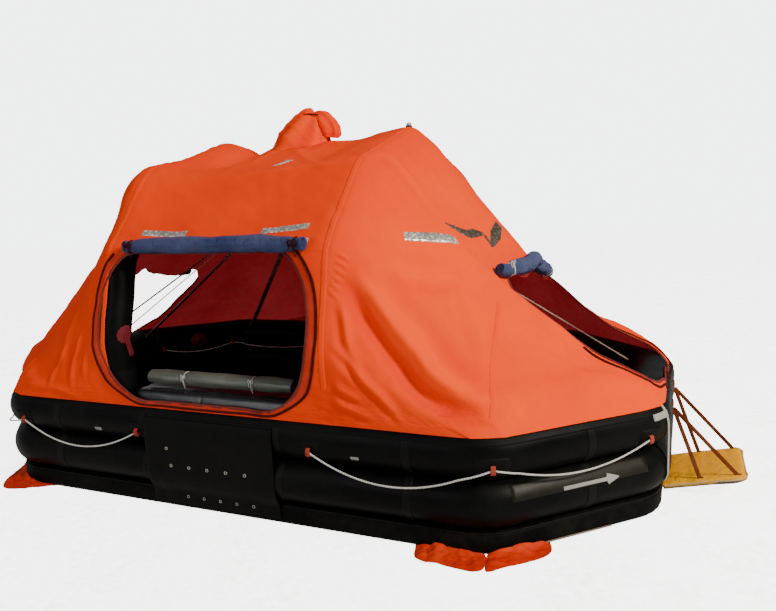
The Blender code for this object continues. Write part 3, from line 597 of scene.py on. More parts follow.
@dataclass(frozen=True)
class Finish:
    """A finish: colour and fading, soil, gloss, and for a rope the lay of its strands.

    Its weave is threads a metre and their height, its creases are their size and height. Its crest is the
    strength of the painted light and shade that it reads from the mark, its glint that of painted sparkle,
    and its glow, on all but the floor, painted light.
    """

    name: str
    colour: tuple[float, float, float]
    worn: tuple[float, float, float]
    roughness: float = 0.7
    soil: float = 0.25
    soil_colour: tuple[float, float, float] = (0.16, 0.13, 0.10)
    weave: tuple[float, float] | None = None
    crease: tuple[float, float] | None = None
    lay: float = 0.0
    metallic: float = 0.0
    coat: float = 0.0
    crest: float = 0.0
    glint: float = 0.0
    specular: float = 0.5
    glow: float = 0.0

    def material(self) -> bpy.types.Material:
        """Builds the material once and hands it out after that.

        Returns:
            The material.
        """
        found = bpy.data.materials.get(self.name)
        if found:
            return found
        made = bpy.data.materials.new(self.name)
        made.use_nodes = True
        graph = Graph(made.node_tree)
        shader = made.node_tree.nodes["Principled BSDF"]
        place = graph.add("TexCoord", out="Object")
        cloth = graph.add("UVMap", uv_map="cloth")
        soil = graph.add("Group", {"Vector": place}, "Soil", node_tree=soil_group())
        fade = soil.node.outputs["Fade"]
        colour = graph.blend(fade, (*self.colour, 1.0), (*self.worn, 1.0))
        # Painted light and shade: the per-point mark picks between a shaded and a lit copy of the colour,
        # darkening fold hollows and shaded parts and lightening ridges and sunlit facets.
        if self.crest:
            crest = graph.add("Attribute", out="Fac", attribute_name="mark")
            turns = [(1.0 + self.crest * k, *[1.0 + 3.0 * self.crest * k] * 2) for k in (-1, 1)]
            dark, light = (tuple(c * k for c, k in zip(self.colour, turn)) for turn in turns)
            ramp = graph.blend(graph.spread(crest, 0.15, 0.85), (*dark, 1.0), (*light, 1.0))
            colour = graph.blend(0.55, colour, ramp)
        colour = graph.blend(graph.math("MULTIPLY", soil, self.soil), colour, (*self.soil_colour, 1.0))
        heights = []
        # Painted glints: random cells lightened toward white stand in for sparkling reflections of the tape.
        if self.glint:
            cells = graph.add("TexVoronoi", {"Vector": cloth, "Scale": 90.0}, "Color")
            shine = graph.spread(graph.add("SeparateColor", {0: cells}), 0.55, 0.95)
            colour = graph.blend(graph.math("MULTIPLY", shine, self.glint), colour, (0.95, 0.96, 0.95, 1.0))
        if self.weave:
            threads = {"Vector": cloth, "Threads": self.weave[0]}
            height = graph.add("Group", threads, node_tree=weave_group())
            heights.append((height, self.weave[1]))
            colour = graph.dimmed(colour, graph.spread(height, 0.0, 0.7, 0.86, 1.0))
        if self.lay:
            u, v = (graph.add("SeparateXYZ", {0: cloth}, axis) for axis in ("X", "Y"))
            turns = graph.math("ADD", u, graph.math("MULTIPLY", v, 1.3))
            wave = graph.math("SINE", graph.math("MULTIPLY", turns, 2 * math.pi / self.lay))
            heights.append((wave, LAY_HEIGHT))
            colour = graph.dimmed(colour, graph.spread(wave, -1.0, 0.2, 0.62, 1.0))
        if self.crease:
            size = {"Vector": place, "Size": self.crease[0]}
            heights.append((graph.add("Group", size, node_tree=crease_group()), self.crease[1]))
        grain = graph.add("TexNoise", {"Vector": place, "Scale": GRAIN_SCALE, "Detail": 2.0}, "Fac")
        heights.append((grain, GRAIN_HEIGHT))
        total = graph.math("MULTIPLY", heights[0][0], heights[0][1])
        for height, depth in heights[1:]:
            total = graph.math("MULTIPLY_ADD", height, depth, total)
        rough = graph.math("MULTIPLY_ADD", fade, ROUGH_RANGE, self.roughness - ROUGH_RANGE / 2)
        rough = graph.math("MULTIPLY_ADD", soil, SOIL_ROUGH * self.soil, rough, clamp=True)
        bump = graph.add("Bump", {"Height": total, "Distance": 1.0, "Strength": 1.0})
        links = made.node_tree.links
        links.new(colour, shader.inputs["Base Color"])
        links.new(rough, shader.inputs["Roughness"])
        links.new(bump, shader.inputs["Normal"])
        # Emission: an evenly bright backdrop for the floor, seen by the camera only; on the lining it is
        # painted light.
        if self.glow:
            seen = graph.add("LightPath", out="Is Camera Ray") if self is FLOOR_STAGE else 1.0
            links.new(graph.blend(seen, (0.0, 0.0, 0.0, 1.0), colour), shader.inputs["Emission Color"])
            shader.inputs["Emission Strength"].default_value = self.glow
        for name, value in (
            ("Metallic", self.metallic), ("Specular IOR Level", self.specular), ("Coat Weight", self.coat),
            ("Coat Roughness", 0.25),
        ):
            shader.inputs[name].default_value = value
        return made


# crest sets how strongly the mark's painted light and shade tint the cloth.
ORANGE = Finish(
    "canopy_orange", (0.88, 0.050, 0.0008), (0.92, 0.064, 0.0012), 0.70, soil=0.14,
    soil_colour=(0.46, 0.020, 0.002), weave=(700.0, 0.00010), crease=(0.30, 0.0060), crest=0.19,
    specular=0.015,
)
# The lining's glow is painted light: it brightens the shaded inside of the tent though it is no lamp.
LINING = Finish(
    "lining_maroon", (0.26, 0.011, 0.016), (0.33, 0.016, 0.021), 0.7, soil=0.2, weave=(700.0, 0.0001),
    crease=(0.3, 0.004), specular=0.1, glow=0.45,
)
BLACK = Finish(
    "tube_black", (0.0012, 0.0016, 0.0016), (0.0028, 0.0034, 0.0030), 0.40, soil=0.25,
    soil_colour=(0.012, 0.012, 0.008), weave=(900.0, 0.00008), crease=(0.35, 0.003), specular=0.06,
)
FLOOR_BLACK = Finish(
    "floor_black", (0.0013, 0.0015, 0.0016), (0.0036, 0.0038, 0.0036), 0.55, soil=0.35,
    soil_colour=(0.018, 0.016, 0.012), weave=(900.0, 0.00008), crease=(0.3, 0.003), specular=0.05,
)
SEAM_BLACK = Finish(
    "seam_black", (0.0020, 0.0025, 0.0026), (0.0050, 0.0056, 0.0054), 0.48, soil=0.3,
    soil_colour=(0.020, 0.019, 0.015), weave=(500.0, 0.00012), specular=0.08,
)
PATCH_BLACK = Finish(
    "patch_black", (0.0016, 0.0019, 0.0020), (0.0036, 0.0040, 0.0038), 0.50, soil=0.3,
    soil_colour=(0.014, 0.013, 0.010), weave=(420.0, 0.00018), specular=0.07,
)
# A lighter olive patch whose colour also paints the lower tube's highlight.
OLIVE_PATCH_SHEEN = Finish(
    "tube_patch_and_sheen", (0.0050, 0.0055, 0.0030), (0.0120, 0.0120, 0.0070), 0.42, soil=0.4,
    soil_colour=(0.020, 0.020, 0.012), weave=(420.0, 0.00012), specular=0.14,
)
NAVY = Finish(
    "curtain_navy", (0.026, 0.037, 0.110), (0.066, 0.080, 0.170), 0.60, soil=0.15, weave=(500.0, 0.0002),
    crease=(0.05, 0.016), specular=0.15,
)
PALE_EDGE = Finish(
    "curtain_edge", (0.34, 0.30, 0.40), (0.62, 0.56, 0.60), 0.5, soil=0.2, weave=(500.0, 0.0002),
    crease=(0.05, 0.004), specular=0.2,
)
BINDING = Finish(
    "door_binding", (0.11, 0.010, 0.008), (0.24, 0.042, 0.034), 0.62, soil=0.25, weave=(450.0, 0.0003),
    specular=0.15,
)
DOOR_BAND = Finish(
    "door_band", (0.46, 0.024, 0.010), (0.58, 0.050, 0.026), 0.65, soil=0.3,
    soil_colour=(0.30, 0.060, 0.040), weave=(600.0, 0.0002), crease=(0.08, 0.003), specular=0.05,
)
DARK_RED = Finish(
    "closing_cord", (0.040, 0.003, 0.003), (0.090, 0.008, 0.008), 0.75, soil=0.2, lay=0.012, specular=0.1,
)
RED_WEB = Finish(
    "red_webbing", (0.28, 0.016, 0.012), (0.36, 0.040, 0.024), 0.8, soil=0.3, weave=(420.0, 0.0005),
    specular=0.2,
)
SILVER = Finish(
    "reflective_tape", (0.30, 0.27, 0.24), (0.44, 0.40, 0.36), 0.34, soil=0.45, metallic=0.5,
    soil_colour=(0.22, 0.13, 0.09), weave=(240.0, 0.0002), crease=(0.05, 0.004), glint=0.8,
)
BROWN_TAPE = Finish(
    "dull_tape", (0.040, 0.026, 0.014), (0.075, 0.052, 0.028), 0.42, soil=0.4, metallic=0.2,
    soil_colour=(0.16, 0.05, 0.02), weave=(240.0, 0.0002), crease=(0.06, 0.004), glint=0.10,
)
WEBBING = Finish(
    "bridle_webbing", (0.19, 0.085, 0.066), (0.52, 0.40, 0.33), 0.82, soil=0.3, weave=(330.0, 0.0006),
    specular=0.15,
)
RAMP_WEB = Finish(
    "ramp_webbing", (0.11, 0.020, 0.004), (0.26, 0.055, 0.008), 0.82, soil=0.35, weave=(330.0, 0.0006),
    specular=0.15,
)
ROPE = Finish(
    "white_rope", (0.60, 0.59, 0.55), (0.76, 0.75, 0.70), 0.78, soil=0.35, soil_colour=(0.35, 0.31, 0.24),
    lay=0.016, specular=0.2,
)
STRING = Finish(
    "white_string", (0.70, 0.69, 0.64), (0.80, 0.79, 0.74), 0.8, soil=0.2, lay=0.006, specular=0.2,
)
YELLOW = Finish(
    "ramp_yellow", (0.90, 0.36, 0.0006), (0.95, 0.47, 0.0020), 0.50, soil=0.4,
    soil_colour=(0.42, 0.10, 0.002), weave=(500.0, 0.0002), crease=(0.06, 0.008), specular=0.12,
)
PIPING = Finish("ramp_piping", (0.52, 0.34, 0.12), (0.62, 0.46, 0.22), 0.6, soil=0.4, weave=(400.0, 0.0003))
GREY_ROLL = Finish(
    "bundle_grey", (0.070, 0.080, 0.066), (0.110, 0.122, 0.102), 0.42, soil=0.3, crease=(0.06, 0.004),
    coat=0.12, specular=0.35,
)
SILL_BLACK = Finish(
    "sill_black", (0.0030, 0.0042, 0.0070), (0.0070, 0.0090, 0.0130), 0.24, soil=0.12,
    weave=(600.0, 0.0001), crease=(0.20, 0.004), coat=0.25, specular=0.4,
)
# crest sets how strongly the mark's painted light and shade tint the pockets.
POCKET = Finish(
    "pocket_orange", (0.60, 0.030, 0.0010), (0.70, 0.044, 0.0020), 0.60, soil=0.5,
    soil_colour=(0.34, 0.020, 0.004), weave=(600.0, 0.00015), crease=(0.07, 0.006), crest=0.22,
    specular=0.1,
)
WHITE_MARK = Finish(
    "white_mark", (0.24, 0.24, 0.22), (0.36, 0.355, 0.32), 0.6, soil=0.5, soil_colour=(0.09, 0.09, 0.08),
    crease=(0.05, 0.002), specular=0.2,
)
PALE_WEB = Finish(
    "pale_webbing", (0.16, 0.125, 0.10), (0.26, 0.21, 0.17), 0.75, soil=0.4, weave=(330.0, 0.0005),
    specular=0.2,
)
VALVE_RED = Finish(
    "valve_patch", (0.085, 0.004, 0.009), (0.15, 0.010, 0.018), 0.6, soil=0.2, weave=(420.0, 0.0003),
    specular=0.15,
)
STEEL = Finish("ring_steel", (0.50, 0.51, 0.52), (0.60, 0.61, 0.62), 0.28, soil=0.15, metallic=1.0)
LAMP_BODY = Finish("lamp_body", (0.030, 0.033, 0.038), (0.05, 0.055, 0.06), 0.35, soil=0.2)
LAMP_LENS = Finish("lamp_lens", (0.30, 0.33, 0.36), (0.40, 0.43, 0.45), 0.12, soil=0.1, coat=0.6)
FLOOR_STAGE = Finish("studio_floor", (0.80, 0.80, 0.80), (0.83, 0.83, 0.83), 0.9, specular=0.0, glow=5.6)


@dataclass
class Studio:
    """The photograph's viewpoint, a plain pale floor and soft light."""

    eye: tuple[float, float, float] = (2.583, -4.667, 1.859)
    turn: tuple[float, float, float] = (-23.47, -8.67, -2.6)
    focal: float = 690.0
    picture: int = 776
    sensor: float = 36.0
    floor_half: float = 30.0
    floor_drop: float = 0.0015
    lit: Array = field(default_factory=lambda: 0.8 * UP)
    warm: tuple[float, float, float] = (1.0, 0.91, 0.78)
    cool: tuple[float, float, float] = (1.0, 0.99, 0.97)
    sky: tuple[float, float, float, float] = (0.95, 0.97, 1.0, 1.0)
    sky_light: float = 0.31
    sky_seen: float = 4.8

    def camera(self) -> None:
        """Sets the camera by its yaw from +Y, its pitch and its roll, in degrees."""
        yaw, pitch, roll = (math.radians(a) for a in self.turn)
        ahead = np.array((math.sin(yaw) * math.cos(pitch), math.cos(yaw) * math.cos(pitch), math.sin(pitch)))
        level = np.array((math.cos(yaw), -math.sin(yaw), 0.0))
        above = np.cross(level, ahead)
        right = level * math.cos(roll) + above * math.sin(roll)
        top = above * math.cos(roll) - level * math.sin(roll)
        data = bpy.data.cameras.new("camera")
        data.sensor_width = self.sensor
        data.lens = self.focal / self.picture * self.sensor
        data.clip_end = 200.0
        bpy.context.scene.camera = self.stand("camera", data, self.eye, (right, top, -ahead))

    def floor(self) -> None:
        """Lays the floor just under the raft."""
        form = Form("studio_floor")
        x, y = np.meshgrid(*[np.linspace(-self.floor_half, self.floor_half, 3)] * 2, indexing="ij")
        form.add(xyz(x, y, -self.floor_drop))
        laid = form.build([FLOOR_STAGE], outward=False)
        laid.parent = None
        del laid["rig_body"]

    def lights(self) -> None:
        """Hangs a large key light to the right, a soft one over the raft and an even pale sky."""
        for name, place, size, power in (
            ("key", (9.0, -3.4, 6.5), 2.0, 1270.0),
            ("front", (-3.5, -9.0, 4.0), 6.0, 215.0),
            ("top", (-1.0, 2.0, 8.0), 5.0, 110.0),
        ):
            data = bpy.data.lights.new(name, "AREA")
            data.shape, data.size, data.energy = "DISK", size, power
            data.color = self.warm if name == "key" else self.cool
            back = -unit(self.lit - np.array(place))
            side = unit(np.cross(UP, back))
            self.stand(name, data, place, (side, np.cross(back, side), back))
        world = bpy.data.worlds.new("sky")
        world.use_nodes = True
        graph = Graph(world.node_tree)
        seen = graph.add("LightPath", out="Is Camera Ray")
        strength = graph.spread(seen, 0.0, 1.0, self.sky_light, self.sky_seen)
        inputs = world.node_tree.nodes["Background"].inputs
        inputs["Color"].default_value = self.sky
        world.node_tree.links.new(strength, inputs["Strength"])
        bpy.context.scene.world = world

    @staticmethod
    def stand(name: str, data: bpy.types.ID, place: tuple, axes: tuple[Array, ...]) -> bpy.types.Object:
        """Puts a camera or a light in the scene.

        Args:
            name: Its name.
            data: The camera's or the light's data.
            place: Where it stands.
            axes: Its three axes. It looks along the third one's opposite.

        Returns:
            The object.
        """
        item = bpy.data.objects.new(name, data)
        turned = Matrix(np.column_stack(axes).tolist()).to_4x4()
        item.matrix_world = Matrix.Translation(place) @ turned
        bpy.context.scene.collection.objects.link(item)
        return item

    def build(self) -> None:
        """Makes the camera, the floor and the lights."""
        self.camera()
        self.floor()
        self.lights()


# Canopy sizes, as packed.
CANOPY_T = 0.008
CANOPY_LIFT = 0.0012
CROWN_R = ARCH_R + CANOPY_LIFT + CANOPY_T
ROOF_SAG = 0.065
SIDE_SAG = 0.012
SECTION = np.array((
    (-HALF_WIDTH - RIM_SPREAD - CANOPY_T, RIM_Z),
    (-HALF_WIDTH - 0.140, UPPER_Z + 0.530),
    (-HALF_WIDTH - 0.005, UPPER_Z + 1.100),
    (-HALF_WIDTH + 0.475, UPPER_Z + 1.580),
    (0.0, UPPER_Z + 1.828),
))
SECTION_STEPS = (1, 2, 2, 2)
SECTION_BETWEEN = (1, 1, 1, 2)
ARCH_BEND = 0.12
END_SAGS = np.array((
    (0.2, 0.054, 0.044), (0.4, 0.082, 0.084), (0.6, 0.095, 0.130), (0.8, 0.095, 0.145), (1.0, 0.0, 0.0),
))
END_RISER = 0.110
END_LEAN = 0.012
END_START = 0.10
ARC_SLIDE = 0.012
RIDGE_DIPS = (0.005, 0.055)
RISER_DIPS = (0.35, 1.0)

# Doorways: the side one seen from the side as (x, z), the end ones from above as (x, half width).
SIDE_DOOR = np.array((
    (0.0, 0.69), (0.27, 0.69), (0.50, 0.695), (0.68, 0.84), (0.74, 1.02), (0.75, 1.28), (0.70, 1.46),
    (0.60, 1.58), (0.30, 1.60), (0.0, 1.60),
))
END_DOOR = np.array((
    (-0.735, 0.0), (-0.745, 0.25), (-0.805, 0.50), (-0.75, 0.575), (-0.43, 0.57), (-0.17, 0.585),
    (-0.04, 0.575), (0.06, 0.51), (0.094, 0.40), (0.096, 0.0),
)) + (HALF_LENGTH, 0.0)
DOOR_SHIFTS = (-0.065, 0.010)

# Folds of the canopy: (points along it, height of the ridge, its width, depth of the hollow at its left).
FOLDS = (
    (((0.94, -1.30, 1.57), (1.00, -1.32, 1.44), (1.08, -1.33, 1.31), (1.18, -1.33, 1.17),
      (1.27, -1.32, 1.05), (1.38, -1.35, 0.94), (1.49, -1.36, 0.88), (1.60, -1.34, 0.84),
      (1.74, -1.26, 0.82)), 0.052, 0.062, 1.25),
    (((0.82, -1.45, 1.13), (0.93, -1.45, 1.03), (1.02, -1.45, 0.92), (1.14, -1.45, 0.81),
      (1.26, -1.44, 0.67)), 0.015, 0.022, 1.0),
    (((0.87, -1.36, 1.36), (0.90, -1.39, 1.24), (0.93, -1.41, 1.10), (1.03, -1.42, 0.95)),
     0.013, 0.026, 1.0),
    (((0.83, -1.46, 0.90), (0.90, -1.45, 0.85), (1.01, -1.45, 0.80)), 0.011, 0.020, 0.9),
    (((0.81, -1.45, 0.80), (0.91, -1.45, 0.76), (1.08, -1.44, 0.70)), 0.010, 0.020, 0.9),
    (((1.02, -1.17, 1.56), (1.11, -1.15, 1.48), (1.27, -1.02, 1.44), (1.41, -0.86, 1.41)),
     0.015, 0.050, 0.7),
    (((0.90, -1.24, 1.65), (0.99, -1.22, 1.55), (1.12, -1.23, 1.38), (1.28, -1.26, 1.16),
      (1.45, -1.27, 0.98)), 0.010, 0.052, 0.5),
    *((((0.80 + 0.008 * k, -1.385 + 0.010 * k, 1.40 + 0.038 * k),
        (0.87 + 0.009 * k, -1.375 + 0.012 * k, 1.34 + 0.042 * k)), 0.009, 0.011, 0.9) for k in range(6)),
    (((1.40, -1.42, 0.76), (1.54, -1.40, 0.74), (1.72, -1.36, 0.74)), 0.009, 0.022, 0.7),
    (((1.35, -1.33, 1.06), (1.42, -1.34, 0.98), (1.50, -1.32, 0.93)), 0.007, 0.020, 0.8),
    (((0.82, -0.87, 2.08), (0.86, -0.66, 2.13), (1.01, -0.63, 1.97), (1.16, -0.62, 1.81)),
     0.012, 0.036, 0.6),
    (((1.42, -0.90, 1.37), (1.55, -1.05, 1.13), (1.64, -1.21, 0.89)), 0.008, 0.044, 0.5),
    (((-1.14, -1.33, 1.30), (-1.19, -1.35, 1.07), (-1.20, -1.44, 0.80)), 0.012, 0.040, 0.8),
    (((-1.00, -1.38, 1.14), (-1.05, -1.41, 0.98), (-1.13, -1.44, 0.70)), 0.014, 0.018, 0.8),
    (((-0.91, -1.39, 1.10), (-0.95, -1.41, 0.95), (-1.01, -1.44, 0.78)), 0.011, 0.016, 0.8),
    (((-1.15, -1.38, 1.05), (-1.24, -1.41, 0.90), (-1.34, -1.44, 0.69)), 0.011, 0.018, 0.8),
    (((-1.64, -1.39, 0.72), (-1.19, -1.44, 0.71), (-1.02, -1.44, 0.66)), 0.008, 0.024, 0.5),
    (((-0.20, -0.09, 2.29), (-0.15, -0.62, 2.13)), 0.009, 0.036, 0.6),
    (((-0.10, -0.15, 2.27), (0.49, -0.83, 2.10)), 0.009, 0.036, 0.6),
    (((-0.26, -0.86, 2.07), (0.31, -0.84, 2.08), (0.80, -0.86, 2.10)), 0.006, 0.022, 0.4),
    (((0.92, 1.30, 1.50), (1.10, 1.38, 1.12), (1.50, 1.36, 0.82)), 0.016, 0.044, 0.8),
    (((-0.95, 1.30, 1.48), (-1.20, 1.36, 1.05), (-1.62, 1.30, 0.82)), 0.014, 0.044, 0.8),
    (((0.30, 0.20, 2.27), (0.60, 0.80, 2.09)), 0.008, 0.036, 0.5),
)
# Places where the cloth stands full (place, width, rise) and where the roof dips: (x, width, depth).
SWELLS = (
    ((-0.95, -0.88, 2.0), 0.26, 0.085), ((-2.34, -0.90, 0.71), 0.10, 0.045),
    ((-1.95, -0.95, 1.05), 0.22, 0.050), ((-1.55, -0.9, 1.38), 0.34, 0.055),
)
ROOF_DENTS = ((-0.47, 0.13, 0.062), (0.38, 0.16, 0.020))


@dataclass
class Plan:
    """The tubes' centre line from above: an octagon with round corners, by the distance from x = 0 near."""

    steps: int = 10
    spots: Array = field(init=False)
    turn: Array = field(init=False)
    run: Array = field(init=False)
    rim: Array = field(init=False)

    def __post_init__(self) -> None:
        """Lays the line out, with the heading of its outward side, and the distances of the canopy's rim."""
        half = ((-SIDE_HALF, -HALF_WIDTH), (SIDE_HALF, -HALF_WIDTH), (HALF_LENGTH, -END_HALF))
        corners = np.array(half + ((HALF_LENGTH, END_HALF),) + tuple((-x, -y) for x, y in half))
        corners = np.vstack((corners, (-HALF_LENGTH, -END_HALF)))
        arcs = [
            fillet(corners[i - 1], corners[i % 8], corners[(i + 1) % 8], CORNER_R, self.steps)
            for i in range(1, 9)
        ]
        middle = np.array(((0.0, -HALF_WIDTH),))
        self.spots = np.concatenate((middle, *arcs, middle))
        bends = np.add.outer(np.arange(8) * 45.0 - 90.0, np.linspace(0.0, 45.0, self.steps + 1)).ravel()
        self.turn = np.radians(np.concatenate(((-90.0,), bends, (270.0,))))
        self.run = running(np.linalg.norm(np.diff(self.spots, axis=0), axis=1))
        arc = self.run[1 + self.steps] - self.run[1]
        first, second = self.run[1], self.run[2 + self.steps]
        bend = arc * shares(4)
        end = np.linspace(second + arc, self.length / 4, 7)[1:]
        reach = (ARCH_X + END_START, *(first + bend), (first + arc + second) / 2, *(second + bend), *end)
        self.rim = np.concatenate((reach, self.length / 2 - np.array(reach[-2::-1])))

    @property
    def length(self) -> float:
        """The way round."""
        return float(self.run[-1])

    def at(self, distance: Array, out: Array = 0.0, height: Array = 0.0) -> Array:
        """Points beside the line.

        Args:
            distance: How far round, from the middle of the near side toward the right end.
            out: How far outside the line.
            height: Height above the ground.

        Returns:
            The points.
        """
        way = np.mod(distance, self.length)
        x, y, turn = (np.interp(way, self.run, part) for part in (*self.spots.T, self.turn))
        return xyz(x + np.cos(turn) * out, y + np.sin(turn) * out, height)

    def ring(self, count: int) -> Array:
        """Distances evenly spaced all the way round."""
        return np.linspace(0.0, self.length, count, endpoint=False)

    def out(self, distance: Array) -> Array:
        """The outward directions there."""
        turn = np.interp(np.mod(distance, self.length), self.run, self.turn)
        return xyz(np.cos(turn), np.sin(turn), 0.0)


PLAN = Plan()


@dataclass
class Canopy:
    """The tent: one cloth over two arches and down to the rim of the upper tube, with three doorways."""

    rows: int = 300
    columns: int = 306
    lean: float = 1.22
    cut: float = 0.8
    skin: float = 0.013
    nearest: int = 6
    reach: float = 0.07
    grid: Array = field(init=False)
    normals: Array = field(init=False)
    height: Array = field(init=False)

    def arch_line(self) -> tuple[Array, Array]:
        """The arches' centre line as (y, z) from near to far, 31 places, with its outward normals.

        Returns:
            (places, normals).
        """
        corners = np.concatenate((SECTION, SECTION[-2::-1] * (-1, 1)))
        along = unit(np.diff(corners, axis=0))
        face = np.stack((-along[:, 1], along[:, 0]), -1)
        bend = unit(face[:-1] + face[1:])
        inner = corners - CROWN_R * np.vstack((
            face[:1], bend / (bend * face[1:]).sum(1, keepdims=True), face[-1:]
        ))
        steps = SECTION_STEPS + SECTION_STEPS[-2::-1]
        between = SECTION_BETWEEN + SECTION_BETWEEN[::-1]
        path, normals = [inner[:1]], [face[:1]]
        for i in range(1, len(inner)):
            last = i == len(inner) - 1
            count = 0 if last else steps[i - 1]
            arc = inner[i:] if last else fillet(inner[i - 1], inner[i], inner[i + 1], ARCH_BEND, count)
            share = shares(count + 1)[:, None]
            turned = face[i - 1 : i] if last else unit(face[i - 1] * (1 - share) + face[i] * share)
            way = shares(between[i - 1] + 2)[1:-1, None]
            path += [path[-1][-1] * (1 - way) + arc[0] * way, arc]
            normals += [np.repeat(face[i - 1 : i], len(way), 0), turned]
        return np.concatenate(path), np.concatenate(normals)

    def end_net(self) -> Array:
        """The right end: over the arch, down the slope with its slack, and down the riser to the rim.

        Returns:
            A net of 31 rows, along the arch, and 10 columns, out to the rim.
        """
        path, face = self.arch_line()
        count = len(path)
        centre, normal = xyz(ARCH_X, *path.T), xyz(0.0, *face.T)
        tangent = xyz(0.0, face[:, 1], -face[:, 0])
        out = PLAN.out(PLAN.rim)
        foot = PLAN.at(PLAN.rim, RIM_SPREAD + CANOPY_T, RIM_Z)
        side = np.minimum(np.arange(count), np.arange(count)[::-1])
        blend = np.clip((side - 1) / 9, 0.0, 1.0)[:, None]
        slack = np.clip((side - 8) / 2, 0.0, 1.0)[:, None, None]
        low = np.where(np.arange(count) < count // 2, *RISER_DIPS)
        riser = END_RISER * (1 - low * ease((side - 5) / 4))[:, None]
        up = foot + blend * (riser * UP - END_LEAN * out)
        flat = up - centre
        flat = flat - (flat * tangent).sum(1, keepdims=True) * tangent
        length = np.linalg.norm(flat, axis=1, keepdims=True)
        along = flat / length
        rise = unit(normal - (normal * along).sum(1, keepdims=True) * along)
        tilt = along * CROWN_R / length + rise * np.sqrt(1 - (CROWN_R / length) ** 2)
        touch = centre + tilt * CROWN_R
        up = up + (1 - blend) * 0.12 * (touch - up)
        turn = np.arccos(np.clip((normal * tilt).sum(1), -1.0, 1.0))[:, None, None] + 1e-6
        k = shares(4)[None, :, None]
        ways = (np.sin((1 - k) * turn) * normal[:, None] + np.sin(k * turn) * tilt[:, None]) / np.sin(turn)
        slide = along[:, None] - (along[:, None] * ways).sum(2, keepdims=True) * ways
        arc = centre[:, None] + ways * CROWN_R
        arc = arc + slide * 3 * k * ARC_SLIDE * np.maximum(0.0, 1 - turn / 0.5)
        share, taut, loose = (part[None, :, None] for part in END_SAGS.T)
        dip = np.where(np.arange(count) < count // 2, *RIDGE_DIPS) * bell(side - 9.0, 2.2)
        drop = taut + (loose - taut) * slack + np.sin(math.pi * share) * dip[:, None, None]
        drop = drop * blend[:, None] * tilt[:, None]
        slope = touch[:, None] + (up - touch)[:, None] * share - drop
        return np.concatenate((arc, slope, foot[:, None]), axis=1)

    def net(self) -> Array:
        """The whole canopy as a coarse net, from which the cloth is made fine.

        Returns:
            31 rows from the near rim over the roof to the far one, and 26 columns from the left.
        """
        path, face = self.arch_line()
        side = np.minimum(np.arange(len(path)), np.arange(len(path))[::-1])
        across = np.array((-0.82, -0.5, -0.18, 0.18, 0.5, 0.82))
        roof = np.maximum(0.0, face[:, 1])
        amount = (SIDE_SAG + (ROOF_SAG - SIDE_SAG) * roof**2) * np.minimum(1, side / 4)
        extra = 0.022 * bell(across * ARCH_X + 0.5, 0.22) - 0.03 * bell(across, 0.25)
        sag = np.outer(amount, (1 - across**2) ** 2) + np.outer(roof**4, extra)
        spread = (CROWN_R - sag)[..., None] * face[:, None] + path[:, None]
        middle = xyz(across * ARCH_X, spread[..., 0], spread[..., 1])
        right = self.end_net()
        return np.concatenate((right[:, ::-1] * (-1, 1, 1), middle, right), axis=1)

    @staticmethod
    def fold(
        points: Array, normals: Array, line: Array, height: float, width: float, hollow: float,
    ) -> Array:
        """How far one fold lifts the cloth: a narrow ridge along a line, with a hollow at its left.

        The ridge is exp(-sqrt((s / w)^2 + 0.06)) for a distance s across it, and fades at both ends.

        Args:
            points: Places on the cloth.
            normals: Its normals there.
            line: Points of the fold's line.
            height: The ridge's height.
            width: The ridge's width.
            hollow: The hollow's depth, as a share of that height.

        Returns:
            The lift of each place.
        """
        path = through(np.array(line), 40)
        last = len(path) - 1
        along = unit(np.gradient(path, axis=0))
        low, high = path.min(0) - 5 * width, path.max(0) + 5 * width
        near = np.flatnonzero(np.all((points > low) & (points < high), axis=1))
        lift = np.zeros(len(points))
        if len(near) == 0:
            return lift
        index = np.linalg.norm(points[near, None] - path, axis=2).argmin(1)
        away = points[near] - path[index]
        across = np.cross(normals[near], along[index])
        side = (away * across).sum(1)
        step = np.linalg.norm(path[-1] - path[0]) / last
        share = np.clip(index / last + (away * along[index]).sum(1) / (last * step), -0.2, 1.2)
        fade = ease(share / 0.3) * ease((1.0 - share) / 0.3)
        beyond = np.linalg.norm(away - side[:, None] * across, axis=1)
        fade = fade * bell(np.maximum(0.0, beyond - step), 2.5 * width)
        ridge = np.exp(-np.sqrt((side / width) ** 2 + 0.06)) * 1.28
        dip = bell(side + 1.5 * width, 0.9 * width) + 0.35 * bell(side - 2.0 * width, width)
        lift[near] = height * fade * (ridge - hollow * dip)
        return lift

